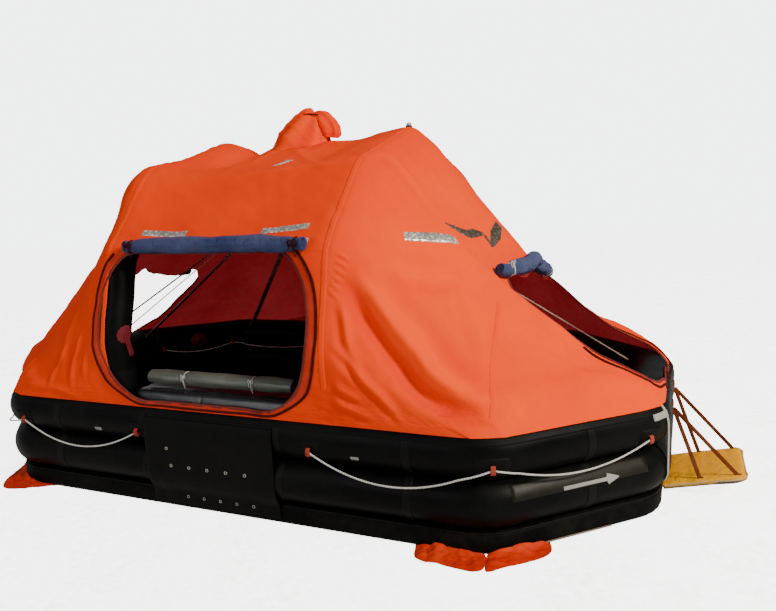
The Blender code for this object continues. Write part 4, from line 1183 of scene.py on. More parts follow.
    def shape(self) -> None:
        """Works out the cloth: the net made fine, then folds, puckers and pleats along its normals."""
        net = refine(self.net(), (self.rows, self.columns), self.lean)
        normals = -facing(net)
        points, face = net.reshape(-1, 3), normals.reshape(-1, 3)
        lift = sum(self.fold(points, face, *fold) for fold in FOLDS)
        x, y, z = points.T
        inside = np.minimum(1.0, np.maximum(0.0, z - RIM_Z) / 0.10)
        crest = bell(np.abs(x) - ARCH_X, 0.05)
        free = inside * (1 - 0.85 * crest)
        slack = 0.0045 * ripple(points, 0.55, 3) + 0.0022 * ripple(points * (0.8, 1.6, 0.7), 0.16, 8, 2)
        radius, angle = np.hypot(x, y), np.arctan2(y, x)
        pleat = 0.0065 * np.cos(15 * angle + 1.4 * np.sin(3 * angle)) * np.exp(-radius / 0.20)
        pleat = pleat * ease((z - 2.0) / 0.15) * ease((radius - 0.12) / 0.10)
        seam = np.cumsum(np.linalg.norm(np.diff(points, axis=0, prepend=points[:1]), axis=1))
        gather = 0.0030 * np.sin(seam * 41 + 3 * ripple(points, 0.3, 5, 1))
        gather = gather * np.exp(-(z - RIM_Z) / 0.09) * inside
        line = 0.0035 * crest * ripple(points * (1.0, 3.0, 3.0), 0.30, 11, 2)
        dent = sum(-depth * bell(x - middle, wide) for middle, wide, depth in ROOF_DENTS)
        dent = dent * ease((z - 2.10) / 0.12) * ease((ARCH_X - np.abs(x)) / 0.25)
        full = sum(rise * bell(np.linalg.norm(points - spot, axis=1), wide) for spot, wide, rise in SWELLS)
        total = lift + free * slack + pleat + gather + line + dent + full
        # The fold lift kept here becomes, through the mark, painted shade in the hollows and painted light
        # on the ridges.
        self.height = (lift + pleat + 0.8 * free * slack).reshape(net.shape[:2])
        self.grid = net + total.reshape(net.shape[:2])[..., None] * normals
        self.normals = -facing(self.grid)

    @staticmethod
    def outlines() -> tuple[Array, Array]:
        """The doorways' outlines as closed lines: (x, z) of the side one, (x, y) of the right end's.

        Returns:
            The two outlines.
        """
        found = []
        for half, mirror in ((SIDE_DOOR, (-1, 1)), (END_DOOR, (1, -1))):
            whole = np.concatenate((half, half[-2:0:-1] * mirror))
            found.append(through(whole, 260, closed=True))
        return found[0] + (DOOR_SHIFTS[0], 0.0), found[1] + (0.0, DOOR_SHIFTS[1])

    @staticmethod
    def outside(spots: Array, outline: Array) -> Array:
        """Distances of flat points to a closed line, negative inside it by the count of crossings.

        Args:
            spots: Points in the line's plane.
            outline: The line.

        Returns:
            One distance for each point.
        """
        away = np.full(spots.shape[:-1], 9.0)
        low, high = outline.min(0) - 0.1, outline.max(0) + 0.1
        near = np.all((spots > low) & (spots < high), axis=-1)
        p, a, b = spots[near][:, None], outline, np.roll(outline, -1, 0)
        step = b - a
        share = np.clip(((p - a) * step).sum(-1) / (step**2).sum(-1), 0.0, 1.0)
        gap = np.linalg.norm(p - a - share[..., None] * step, axis=-1).min(1)
        over = (a[:, 1] > p[..., 1]) != (b[:, 1] > p[..., 1])
        rise = np.where(step[:, 1] == 0, 1e-9, step[:, 1])
        cross = p[..., 0] < a[:, 0] + step[:, 0] * (p[..., 1] - a[:, 1]) / rise
        away[near] = gap * np.where((over & cross).sum(1) % 2 == 1, -1.0, 1.0)
        return away

    def trimmed(self, grid: Array, normals: Array) -> tuple[Array, Array]:
        """A cloth's grid moved onto the doorways' edges, and its distances outside them.

        A point beside an edge moves along the grid to it where it is the nearer end of that grid line.

        Args:
            grid: The cloth's points.
            normals: Its normals.

        Returns:
            (points, distances, 0 on an edge and negative in a doorway).
        """
        side, end = self.outlines()
        flat = np.stack((np.abs(grid[..., 0]), grid[..., 1]), -1)
        level = np.minimum(
            np.where(grid[..., 1] < -0.9, self.outside(grid[..., ::2], side), 9.0),
            np.where(normals[..., 2] > 0.02, self.outside(flat, end), 9.0),
        )
        moved, best = grid.copy(), np.full(level.shape, 0.5)
        for axis, step in ((0, 1), (0, -1), (1, 1), (1, -1)):
            other, there = np.roll(level, step, axis), np.roll(grid, step, axis)
            cut = (level * other < 0) & (np.abs(other) < 5) & (np.abs(level) < 5)
            share = np.where(cut, level / np.where(cut, level - other, 1.0), 9.0)
            closer = share < best
            moved[closer] = (grid + share[..., None] * (there - grid))[closer]
            best = np.where(closer, share, best)
        return moved, np.where(best < 0.5, 0.0, level)

    def settle(
        self, spots: Array, lift: Array = 0.0, axis: int | None = None, sign: int = 1,
    ) -> tuple[Array, Array]:
        """Puts points on the cloth by the planes of its nearest points, the nearer ones counting more.

        Args:
            spots: Points near the cloth.
            lift: How far outside it they go.
            axis: The axis that they move along, or None for the shortest way.
            sign: The side of that axis which the cloth faces.

        Returns:
            (points, normals) with the shape of spots.
        """
        flat = spots.reshape(-1, 3)
        use = [k for k in range(3) if k != axis]
        points, normals = self.grid.reshape(-1, 3), self.normals.reshape(-1, 3)
        low, high = flat[:, use].min(0) - self.reach, flat[:, use].max(0) + self.reach
        near = np.all((points[:, use] > low) & (points[:, use] < high), axis=1)
        if axis is not None:
            near &= normals[:, axis] * sign > 0.15
        points, normals = points[near], normals[near]
        gap = np.linalg.norm(flat[:, None, use] - points[None][..., use], axis=-1)
        index = np.argpartition(gap, self.nearest, axis=1)[:, : self.nearest]
        weight = 1 / (np.take_along_axis(gap, index, 1) ** 2 + 0.003**2)
        weight = (weight / weight.sum(1, keepdims=True))[..., None]
        p, n = points[index], normals[index]
        if axis is None:
            off = ((flat[:, None] - p) * n).sum(-1, keepdims=True)
            found = flat - (off * n * weight).sum(1)
        else:
            off = ((flat[:, None] - p) * n)[..., use].sum(-1)
            found = flat.copy()
            found[:, axis] = ((p[..., axis] - off / n[..., axis]) * weight[..., 0]).sum(1)
        way = unit((n * weight).sum(1))
        lifted = found + np.broadcast_to(lift, spots.shape[:-1]).reshape(-1, 1) * way
        return lifted.reshape(spots.shape), way.reshape(spots.shape)

    def tape(
        self, form: Form, line: Array, width: float, finish: int = 0, lift: float = 0.0016,
        spread: Array | None = None, count: int = 40,
    ) -> None:
        """Lays a strip along a line on the cloth, with its edges turned down onto it.

        Args:
            form: What it is added to.
            line: Points along its middle.
            width: Its width.
            finish: Its finish.
            lift: How far it stands off the cloth.
            spread: Its half width at each point, where that changes.
            count: How many places it is worked out at.
        """
        path, up = self.settle(through(line, count))
        over = unit(np.cross(np.gradient(path, axis=0), up))
        half = np.full(count, width / 2) if spread is None else spread
        across = np.array((-1.0, -0.94, -0.5, 0.0, 0.5, 0.94, 1.0))
        grid = path[:, None] + over[:, None] * (half[:, None] * across)[..., None]
        edge = np.full(grid.shape[:2], lift)
        edge[:, (0, -1)] = edge[(0, -1), :] = -0.0015
        form.add(self.settle(grid, edge)[0], flip=True, finish=finish)

    def edge_lines(self) -> dict[str, tuple[Array, Array]]:
        """Each doorway's edge on the cloth: near, right and left.

        Returns:
            (points, normals) by name.
        """
        side, end = self.outlines()
        near, right = xyz(side[:, 0], -1.4, side[:, 1]), xyz(*end.T, 1.2)
        return {
            "near": self.settle(near, 0.0, 1, -1),
            "right": self.settle(right, 0.0, 2, 1),
            "left": self.settle(right * (-1, 1, 1), 0.0, 2, 1),
        }

    def build(self) -> None:
        """Makes the cloth, its lining, the doorways' bindings and closing cords, seams and tapes."""
        self.shape()
        x, y, z = np.moveaxis(self.grid, -1, 0)
        # Painted light and shade for the mark: the right end's facets lightened as if in sun, the near
        # side's low part darkened as if in shade, and fold heights lightening ridges and darkening hollows.
        low = (1 - ease((z - 0.80) / 0.35)) * (y < 0)
        painted_sunlight = 0.34 * ease((x - ARCH_X - 0.04) / 0.35) - 0.16
        painted_sunlight = painted_sunlight - 0.22 * low * ease((x - 0.2) / 0.6) * (1 - ease((x - 1.60) / 0.09))
        mark = np.clip(0.5 + self.height / 0.050 + painted_sunlight, 0.0, 1.0)
        outer, level = self.trimmed(self.grid, self.normals)
        cover = Form("canopy_cloth").add(outer, flip=True, level=level, mark=mark)
        nodes = ["canopy_near", "canopy_roof", "canopy_far"]
        nodes += [f"canopy_{end}_{part}" for end in ("left", "right") for part in ("near", "slope", "far")]
        cloth = cover.build([ORANGE], tuple(nodes), "canopy_fabric", outward=False)
        part = (slice(14, -8, 2), slice(None, None, 2))
        normals = self.normals[part]
        back, level = self.trimmed(self.grid[part] - normals * self.skin, normals)
        lining_form = Form("canopy_lining").add(back, level=level)
        lining = lining_form.build([LINING], slot="canopy_fabric", outward=False)
        trims = [self.bindings(), self.seams(), self.tapes()]
        for piece, form, extras in ((cloth, cover, trims), (lining, lining_form, [])):
            area = form.area()

    def bindings(self) -> bpy.types.Object:
        """Edges each doorway with a folded binding, and lays the cord that closes its curtain beside it.

        The side doorway has a red band between the two.

        Returns:
            The object.
        """
        form = Form("doorway_bindings")
        for name, (path, up) in self.edge_lines().items():
            form.bar(path - up * 0.003, oblong(0.019, 0.012, 12), up, True, True)
            middle = path.mean(0)
            out = unit(path - middle - ((path - middle) * up).sum(1, keepdims=True) * up)
            if name == "near":
                reach = 0.028 + 0.032 * ease((path[:, 2:] - 0.70) / 0.15)
                about = np.arctan2(path[:, 0], middle[2] - path[:, 2])
                keep = path[:, 2] < 1.57
                band, way = self.settle(path + out * (0.5 * reach + 0.002), 0.0012)
                form.bar(band, oblong(0.034, 0.003, 12, 6.0), way, True, True, 2)
            else:
                reach = np.full((len(path), 1), 0.036)
                about = np.arctan2(path[:, 1] - middle[1], np.abs(path[:, 0]) - abs(middle[0]))
                keep = np.abs(path[:, 0]) > 2.05
            order = np.argsort(about)
            order = order[keep[order]]
            line, way = self.settle(path[order] + out[order] * reach[order], 0.0035)
            form.add(carry(line, oblong(0.015, 0.009, 10, 2.6), way), Wrap.TUBE, flip=True, finish=1)
        return form.build([BINDING, DARK_RED, DOOR_BAND], slot="canopy_fabric")

    def seams(self) -> bpy.types.Object:
        """Lays the felled seams: over both arches and down the end facets.

        Returns:
            The object.
        """
        form = Form("canopy_seams")
        path, face = self.arch_line()
        crown = through(path + face * CROWN_R, 160)[6:-6]
        for x in (-ARCH_X, ARCH_X):
            self.tape(form, xyz(x, *crown.T), 0.034, count=220)
        facet = np.array(((1.61, 0.80, 1.27), (1.64, 1.07, 1.03), (1.69, 1.36, 0.72)))
        for x, y in ((-1, -1), (-1, 1), (1, -1), (1, 1)):
            self.tape(form, facet * (x, y, 1), 0.026, count=60)
        return form.build([ORANGE], slot="canopy_fabric", outward=False)

    def tapes(self) -> bpy.types.Object:
        """Lays the silver tapes above the side door and on the facets, and the duller ones by the end door.

        Returns:
            The object.
        """
        form = Form("canopy_tapes")
        facet = np.array(((1.098, 0.953, 1.674), (1.23, 0.84, 1.63), (1.347, 0.738, 1.578)))
        for line in (
            ((-0.59, -1.23, 1.725), (-0.25, -1.23, 1.725)), ((0.29, -1.23, 1.727), (0.63, -1.23, 1.735)),
            facet * (-1, -1, 1), facet, facet * (-1, 1, 1), ((0.11, -0.74, 2.12), (0.15, -0.58, 2.16)),
        ):
            self.tape(form, line, 0.046, lift=0.0022)
        for line, halves, finish in (
            (((1.10, -0.98, 1.655), (1.21, -0.85, 1.635), (1.33, -0.69, 1.60)), (0.030, 0.036, 0.032), 0),
            (((1.24, -0.65, 1.71), (1.29, -0.57, 1.67), (1.34, -0.50, 1.63), (1.36, -0.42, 1.63),
              (1.395, -0.33, 1.61)), (0.005, 0.022, 0.034, 0.036, 0.008), 1),
            (((1.40, -0.34, 1.61), (1.465, -0.37, 1.535)), (0.022, 0.010), 1),
            (((1.455, -0.37, 1.54), (1.44, -0.24, 1.585), (1.40, -0.03, 1.66)), (0.014, 0.046, 0.024), 1),
        ):
            spread = np.interp(shares(40), shares(len(halves)), halves)
            self.tape(form, line, 0.0, finish, 0.0024, spread)
        return form.build([SILVER, BROWN_TAPE], slot="canopy_fabric", outward=False)


@dataclass
class Tubes:
    """The two stacked tubes, their seam bands, patches and marks, and the apron below the side doorway."""

    sections: int = 420
    points: int = 44
    between: float = (LOWER_Z + UPPER_Z) / 2
    cloth: float = 0.0014
    tucked: float = -0.003
    seam: float = 0.050
    seams: tuple[float, ...] = (-0.52, 0.454, 1.25, 2.20, 2.72)
    hem: tuple[float, float] = (27.0, 44.0)
    valve: float = 2.16
    valve_angle: float = 176.0
    valve_radius: float = 0.075
    apron_x: tuple[float, float] = (-0.50, 0.434)
    eyelets: tuple[tuple[float, tuple[float, float, int]], ...] = (
        (0.300, (-0.308, 0.234, 5)), (0.088, (-0.236, 0.248, 5)), (0.409, (-0.333, -0.333, 1)),
    )

    def skin(self, distance: Array, angle: Array, height: float, lift: Array = 0.0) -> Array:
        """Points on a tube: its round section carried round the plan, cut flat against its neighbours.

        The cloth waves a little, and puckers inside the corners.

        Args:
            distance: How far round the plan.
            angle: Angle about the tube in radians, 0 outward and a right angle up.
            height: The tube's height.
            lift: How far outside the tube.

        Returns:
            The points.
        """
        distance, angle, lift = np.broadcast_arrays(distance, angle, lift)
        spots = PLAN.at(distance, 0.0, height) + 0.2 * xyz(np.cos(angle), np.sin(angle), 0.0)
        turn = np.interp(np.mod(distance, PLAN.length), PLAN.run, PLAN.turn) / (math.pi / 4)
        corner = np.clip(1 - np.abs(np.mod(turn, 1) - 0.5) * 2.2, 0, 1) * np.clip(-np.cos(angle), 0, 1)
        pucker = 0.004 * corner * (1 + np.sin(distance * 160))
        radius = TUBE_R + lift - 0.0012 + 0.0011 * ripple(spots, 0.5, 21) - pucker
        z = height + radius * np.sin(angle)
        lower = height < self.between
        low = FLOOR_H + GAP if lower else self.between + GAP / 2
        high = self.between - GAP / 2 if lower else 9.0
        return PLAN.at(distance, radius * np.cos(angle), np.clip(z, low + 0.0005, high - 0.0005))

    def patch(
        self, form: Form, middle: float, width: float, angles: tuple[float, float],
        height: float = UPPER_Z, finish: int = 0, lift: float = 0.0022, shape: Array | None = None,
    ) -> None:
        """Lays a patch on a tube, its edges turned down onto it.

        Args:
            form: What it is added to.
            middle: How far round the plan its middle is.
            width: Its width along the tube.
            angles: Where it starts and ends about the tube, in degrees.
            height: The tube's height.
            finish: Its finish.
            lift: How far it stands proud.
            shape: Its half height at places along it, as shares, where that changes.
        """
        along = np.linspace(-width / 2, width / 2, max(7, int(width / 0.02)) if shape is None else 80)
        about = np.radians(np.linspace(*angles, max(7, int(abs(angles[1] - angles[0]) / 7))))
        along, about = (
            np.concatenate((row[:1], row[:1] + edge, row[1:-1], row[-1:] - edge, row[-1:]))
            for row, edge in ((along, 0.0015), (about, 0.01))
        )
        rise = np.full((len(along), len(about)), lift)
        rise[:, (0, -1)] = rise[(0, -1), :] = self.tucked
        turn = np.broadcast_to(about, rise.shape)
        if shape is not None:
            share = np.interp(shares(len(along)), shares(len(shape)), shape)
            turn = about.mean() + (about - about.mean()) * share[:, None]
        form.add(self.skin(middle + along[:, None], turn, height, rise), flip=True, finish=finish)

    def build(self) -> None:
        """Makes the tubes and what is on them."""
        way, about = PLAN.ring(self.sections)[:, None], full_turn(self.points)
        for name, height in (("lower_tube", LOWER_Z), ("upper_tube", UPPER_Z)):
            form = Form(name + "_skin").add(self.skin(way, about, height), Wrap.RING, flip=True)
            form.build([BLACK], (name,), "tube_rubber")
        self.bands()
        self.marks()
        self.apron()

    def bands(self) -> None:
        """Lays the seam bands round the tubes and the strip that the canopy's hem is glued to."""
        form = Form("tube_bands")
        half, seams = PLAN.length / 2, self.seams
        quarters = seams, [half - d for d in seams], [half + d for d in seams[1:]], [-d for d in seams[1:]]
        for place in np.concatenate(quarters):
            for height, span in ((LOWER_Z, (-62.0, 62.0)), (UPPER_Z, (-62.0, 40.0))):
                self.patch(form, place, self.seam, span, height)
                self.patch(form, place, self.seam, (118.0, 240.0), height)
        way = np.linspace(0.0, PLAN.length, int(PLAN.length / 0.03))[:, None]
        low, high = self.hem
        about = np.radians((low - 1, *np.linspace(low, high, 6), high + 1))
        rise = np.full((len(way), len(about)), 0.0024)
        rise[:, (0, -1)] = self.tucked
        form.add(self.skin(way, about, UPPER_Z, rise), flip=True, finish=1)
        form.build([SEAM_BLACK, PATCH_BLACK], slot="tube_rubber", outward=False)

    def marks(self) -> None:
        """Lays the pale marks and strips on the tubes, and the valves inside."""
        form = Form("tube_marks")
        self.patch(form, -0.900, 0.055, (-30.0, -20.0))
        self.patch(form, 0.950, 0.050, (-29.0, -21.0))
        share = shares(80)
        arrow = np.where(share < 0.78, 0.32, 0.04 + (1 - share) / 0.23)
        self.patch(form, 2.200, 0.360, (5.0, 30.0), LOWER_Z, shape=arrow, lift=0.0034)
        drop = through((
            (0.070, UPPER_Z + 0.137), (0.125, UPPER_Z + 0.088), (0.150, UPPER_Z + 0.030),
            (0.1555, UPPER_Z - 0.050), (0.1560, self.between), (0.1555, LOWER_Z + 0.020),
            (0.1545, LOWER_Z - 0.030), (0.140, LOWER_Z - 0.070),
        ), 40)
        place = np.full(len(drop), 2.690)
        form.bar(PLAN.at(place, *drop.T), oblong(0.028, 0.003, 12, 6.0), PLAN.out(place))
        self.patch(form, 2.655, 0.095, (16.0, 31.0), lift=0.006)
        # Lighter olive patch on the lower tube, its colour also painting the tube's highlight along its
        # upper side.
        self.patch(form, 2.150, 0.860, (12.0, 50.0), LOWER_Z, 1)
        self.patch(form, 2.585, 0.085, (-46.0, 2.0), finish=2, lift=0.004)
        for place in (PLAN.length / 2 + self.valve, PLAN.length / 2 - self.valve, -self.valve):
            self.disc(form, place)
        form.build([WHITE_MARK, OLIVE_PATCH_SHEEN, PATCH_BLACK, VALVE_RED], slot="tube_rubber", outward=False)

    def disc(self, form: Form, place: float) -> None:
        """Lays a round scalloped patch inside the upper tube, with a valve's cap at its middle.

        Args:
            form: What it is added to.
            place: How far round the plan its middle is.
        """
        turn = np.linspace(0.0, 2 * math.pi, 49)
        profile = np.array((
            (0.001, 0.020), (0.2, 0.020), (0.22, 0.016), (0.34, 0.014), (0.36, 0.003), (0.6, 0.003),
            (0.9, 0.003), (1.0, -0.002),
        ))
        size = profile[:, :1] * self.valve_radius * (1 + 0.05 * np.cos(12 * turn))
        rise = profile[:, 1:] + 0 * turn
        about = math.radians(self.valve_angle) + size * np.sin(turn) / TUBE_R
        form.add(self.skin(place + size * np.cos(turn), about, UPPER_Z, rise), finish=3, flip=True)

    def apron(self) -> None:
        """Hangs the apron on the near side between its seams, with two rows of eyelets."""
        section = np.array((
            (0.1415, 0.600), (0.1525, 0.560), (0.1535, 0.500), (0.1535, 0.430), (0.1530, 0.350),
            (0.1535, 0.270), (0.1500, 0.220), (0.1350, 0.165), (0.1090, 0.118), (0.1045, 0.080),
            (0.1040, 0.035),
        ))
        drop = through(section, 44)
        spots = PLAN.at(np.linspace(*self.apron_x, 60)[:, None], *drop.T)
        spots[..., 1] -= 0.0012 + np.abs(0.0016 * ripple(spots, 0.22, 31))
        form = Form("side_apron").add(spots, flip=True)
        sheet = form.build([PATCH_BLACK], slot="tube_rubber", thick=self.cloth, outward=False)
        rings = Form("apron_eyelets")
        about = full_turn(14)
        eyelet = 0.0085 * xyz(np.cos(about), 0.0, np.sin(about))
        for z, places in self.eyelets:
            out = float(np.interp(-z, -section[:, 1], section[:, 0])) + 0.004
            for place in np.linspace(*places):
                rings.bar(PLAN.at(place, out, z) + eyelet, circle(0.0026, 6), -Y_AXIS, True)
        eyelets = rings.build([WHITE_MARK], slot="steel")
        width = self.apron_x[1] - self.apron_x[0]
        form.area() / width


@dataclass
class Floor:
    """The inflated floor: a slab with round edges, its seam, and a pale webbing at its near right corner."""

    edge: float = 0.030

    def build(self) -> None:
        """Carries the slab's rounded section round the plan and closes it with shrinking rings."""
        turn = np.linspace(math.pi / 2, -math.pi / 2, 15)
        out = FLOOR_PROUD - self.edge + self.edge * np.cos(turn)
        z = np.where(turn > 0, FLOOR_H - self.edge, self.edge) + self.edge * np.sin(turn)
        rim = PLAN.at(PLAN.ring(260)[:, None], out, z)
        shrink = np.array((0.0, 0.2, 0.4, 0.6, 0.75, 0.88))[:, None] * (1, 1, 0) + (0, 0, 1)
        grid = np.concatenate((rim[:, :1] * shrink, rim, rim[:, -1:] * shrink[::-1]), axis=1)
        form = Form("floor_skin").add(grid.transpose(1, 0, 2), Wrap.TUBE)
        form.build([FLOOR_BLACK], ("floor",), "floor_rubber")
        seams = Form("floor_seams")
        way = PLAN.ring(300)
        line = PLAN.at(way, FLOOR_PROUD - 0.006, FLOOR_H - 0.007)
        seams.bar(line, oblong(0.010, 0.005, 8), PLAN.out(way), True)
        way = np.linspace(1.93, 2.36, 40)
        line = PLAN.at(way, FLOOR_PROUD - 0.005, 0.016)
        seams.bar(line, oblong(0.005, 0.028, 10, 6.0), PLAN.out(way), finish=1)
        seams.build([SEAM_BLACK, PALE_WEB], slot="floor_rubber")


def off_upper_tube(grid: Array, proud: float) -> Array:
    """Moves points that are inside the upper tube's sides out of it, away from its centre line.

    Args:
        grid: The points.
        proud: How far from the tube's surface they stop.

    Returns:
        The points, none of them nearer than that.
    """
    side = np.sign(grid[..., 1]) * HALF_WIDTH
    away = np.stack((grid[..., 1] - side, grid[..., 2] - UPPER_Z), -1)
    reach = np.linalg.norm(away, axis=-1, keepdims=True)
    moved = away / reach * np.maximum(reach, TUBE_R + proud)
    return xyz(grid[..., 0], moved[..., 0] + side, moved[..., 1] + UPPER_Z)


@dataclass
class Arches:
    """The two inflated arches under the canopy, with collars at their feet."""

    proud: float = 0.0006
    patch_z: float = 1.090
    patch_radius: float = 0.058

    def build(self, canopy: Canopy) -> None:
        """Carries a round section along the canopy's arch line, pushed off the upper tube at its feet.

        Args:
            canopy: The canopy, which knows the arch line.
        """
        path, _ = canopy.arch_line()
        path = np.vstack((path[:1] - (0.0, 0.05), path, path[-1:] - (0.0, 0.05)))
        for name, x in (("arch_left", -ARCH_X), ("arch_right", ARCH_X)):
            line = through(xyz(x, *path.T), 150)
            form = Form(name + "_skin")
            for part, side, finish in ((line, -1, 0), (line[4:9], 1, 1), (line[-9:-4], 1, 1)):
                ring = carry(part, circle(ARCH_R + side * self.proud, 36), X_AXIS)
                form.add(off_upper_tube(ring, self.proud), Wrap.TUBE, flip=True, finish=finish)
            form.build([BLACK, SEAM_BLACK], (name,), "tube_rubber")
            self.patch(line, x)

    def patch(self, line: Array, x: float) -> None:
        """Lays a round red patch on an arch's near leg, with the short strap that is sewn to it.

        Args:
            line: The arch's centre line.
            x: Where the arch stands.
        """
        near = line[: len(line) // 2]

        def on_leg(angle: Array, z: Array, proud: Array) -> Array:
            """Places on the leg's skin.

            Args:
                angle: Angles about the leg.
                z: Heights.
                proud: How far off the skin.

            Returns:
                The places.
            """
            reach = ARCH_R + proud
            y = np.interp(z, near[:, 2], near[:, 1]) + reach * np.sin(angle)
            return xyz(x - np.sign(x) * reach * np.cos(angle), y, z)

        form = Form("arch_patch")
        turn = np.linspace(0.0, 2 * math.pi, 49)
        profile = np.array(((0.001, 0.003), (0.4, 0.003), (0.8, 0.003), (0.93, 0.002), (1.0, -0.002)))
        size = profile[:, :1] * self.patch_radius * (1 + 0.04 * np.cos(12 * turn))
        angle = math.radians(-9.0) + size * np.sin(turn) / ARCH_R
        form.add(on_leg(angle, self.patch_z + size * np.cos(turn), profile[:, 1:]))
        strap = on_leg(np.linspace(-0.12, 0.20, 14), np.linspace(1.085, 0.945, 14), 0.005)
        form.bar(strap, oblong(0.040, 0.004, 12, 6.0), -np.sign(x) * X_AXIS)
        form.build([VALVE_RED], slot="tube_rubber")


# A roll's end, from its rim to its middle: share of the rim's size, and how far out the turns stand.
ROLL_END = np.array((
    (0.97, 0.004), (0.88, 0.007), (0.80, 0.000), (0.70, 0.006), (0.60, -0.003), (0.48, 0.004),
    (0.36, -0.005), (0.22, 0.002), (0.10, -0.005),
))


@dataclass
class Roll:
    """A curtain rolled up along a line, lapped, pinched by ties and with its turns showing at the ends."""

    name: str
    path: Array
    radius: float
    ties: tuple[float, ...]
    finishes: list[Finish]
    slot: str
    node: str
    shape: tuple[float, ...] = (0.78, 0.96, 1.0, 1.02, 0.98, 1.0, 1.03, 0.97, 0.80)
    up: Array = field(default_factory=lambda: UP)
    pinch: float = 0.20
    tie_radius: float = 0.005
    rings: int = 110
    press: Array | None = None

    def surface(self, path: Array, share: Array, lap: Array) -> Array:
        """The roll's skin: radius (0.93 + 0.09 lap) with creases along it, less at each tie.

        Args:
            path: Its centre line.
            share: Share of the way along, one for each point of the path.
            lap: Share of a turn, one for each point of the section.

        Returns:
            The grid.
        """
        size = np.interp(share, shares(len(self.shape)), self.shape) * self.radius
        tied = sum(bell(share - tie, 0.022) for tie in self.ties)
        turn = lap * 2 * math.pi
        spot = xyz(share[:, None] * 6.0, np.cos(turn), np.sin(turn))
        crease = 0.045 * ripple(spot, 1.6, len(self.name)) + 0.02 * np.sin(turn * 7)
        size = size[:, None] * (0.93 + 0.09 * lap + crease) * (1 - self.pinch * tied[:, None])
        angle = turn + 0.6
        section = np.stack((np.cos(angle), np.sin(angle)), -1) * size[..., None]
        return carry(path, section, self.up)

    def build(self) -> None:
        """Makes the roll, its end turns and its ties."""
        path = through(self.path, self.rings)
        share = shares(self.rings)
        lap = full_turn(40) / (2 * math.pi)
        skin = self.surface(path, share, lap)
        caps = [
            row.mean(0) + (row - row.mean(0)) * ROLL_END[:, :1, None] + unit(way) * ROLL_END[:, 1:, None]
            for row, way in ((skin[0], path[:1] - path[3:4]), (skin[-1], path[-1:] - path[-4:-3]))
        ]
        whole = np.concatenate((caps[0][::-1], skin, caps[1]))
        if self.press is not None:
            whole = self.pressed(whole)
        form = Form(self.name).add(whole, Wrap.TUBE, caps=True, flip=True)
        rope = Form(self.name + "_ties")
        for tie in self.ties:
            centre = np.array([np.interp(tie, share, axis) for axis in path.T])
            index = int(tie * (self.rings - 1))
            step = path[index + 1] - path[index - 1]
            line = np.vstack((centre - step, centre, centre + step))
            ring = self.surface(line, np.full(3, tie), lap)[1]
            ring = ring + unit(ring - ring.mean(0)) * self.tie_radius * 0.6
            if self.press is not None:
                ring = self.pressed(ring)
            rope.bar(ring, circle(self.tie_radius, 8), unit(step), True)
            self.bow(rope, ring, unit(step))
        roll = form.build(self.finishes[:1], (self.node,), self.slot)
        rope.build(self.finishes[1:], slot=self.slot)

    def pressed(self, grid: Array) -> Array:
        """Holds points outside the cloth that the roll lies on, which is given as its points and normals.

        Args:
            grid: The points.

        Returns:
            The points, none of them inside the cloth.
        """
        flat = grid.reshape(-1, 3)
        spots, normals = self.press
        index = np.linalg.norm(flat[:, None] - spots, axis=2).argmin(1)
        off = ((flat - spots[index]) * normals[index]).sum(1)
        push = np.maximum(0.0, 0.001 - off)
        return (flat + push[:, None] * normals[index]).reshape(grid.shape)

    def bow(self, form: Form, ring: Array, along: Array) -> None:
        """Ties a bow at the ring's outermost point: two loops and two tails that hang down.

        Args:
            form: What it is added to.
            ring: Points round the roll.
            along: The roll's direction.
        """
        spot = ring[np.argmin(ring[:, 1] - 0.3 * ring[:, 2])]
        out = unit(spot - ring.mean(0))
        t = np.linspace(0.0, math.pi, 22)[:, None]
        size = 4.5 * self.tie_radius
        s = shares(14)[:, None]
        for side in (-1, 1):
            loop = spot + out * 0.006 + side * along * size * 1.3 * np.sin(t)
            form.bar(loop + UP * size * 0.8 * np.sin(2 * t), circle(self.tie_radius * 0.8, 7), out)
            tail = spot + out * (0.006 + 0.010 * np.sin(s * 3)) + side * along * size * s
            form.bar(tail - UP * (0.055 + 0.02 * side) * s, circle(self.tie_radius * 0.75, 7), out)
        knot = spot + out * 0.007 + along * np.linspace(-0.008, 0.008, 7)[:, None]
        size = self.tie_radius * (1.2 + np.sin(math.pi * shares(7)))
        form.bar(knot, circle(1.0, 8) * size[:, None, None], out)


@dataclass
class Curtains:
    """The three doors' rolled curtains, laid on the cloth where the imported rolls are."""

    radius: float = 0.050
    sink: float = 0.008

    def build(self, canopy: Canopy) -> None:
        """Makes the rolls and the pale edge that the side one hangs from.

        Args:
            canopy: The canopy that they lie on.
        """
        share = shares(40)
        side = xyz(-0.62 + 1.28 * share, -1.35, 1.622)
        bowed = HALF_LENGTH - 0.850 + 0.09 * share + 0.055 * np.sin(math.pi * share)
        end = xyz(bowed, -END_HALF - 0.01 + (2 * END_HALF - 0.12) * share, 1.4)
        for word, line, axis, sign, ties, cord in (
            ("near", side, 1, -1, (0.035, 0.965), DARK_RED),
            ("right", end, 2, 1, (0.10, 0.90), STRING),
            ("left", end * (-1, 1, 1), 2, 1, (0.10, 0.90), STRING),
        ):
            foot, up = canopy.settle(line, 0.0, axis, sign)
            Roll(
                "curtain_" + word, foot + up * (self.radius - self.sink), self.radius, ties, [NAVY, cord],
                "curtain_fabric", "door_roll_" + word, up=up[:1], press=(foot, up),
            ).build()
        form = Form("curtain_edge")
        canopy.tape(form, side + (0.0, 0.0, 0.070), 0.036, 0, 0.0035, count=90)
        form.build([PALE_EDGE], slot="curtain_fabric", outward=False)


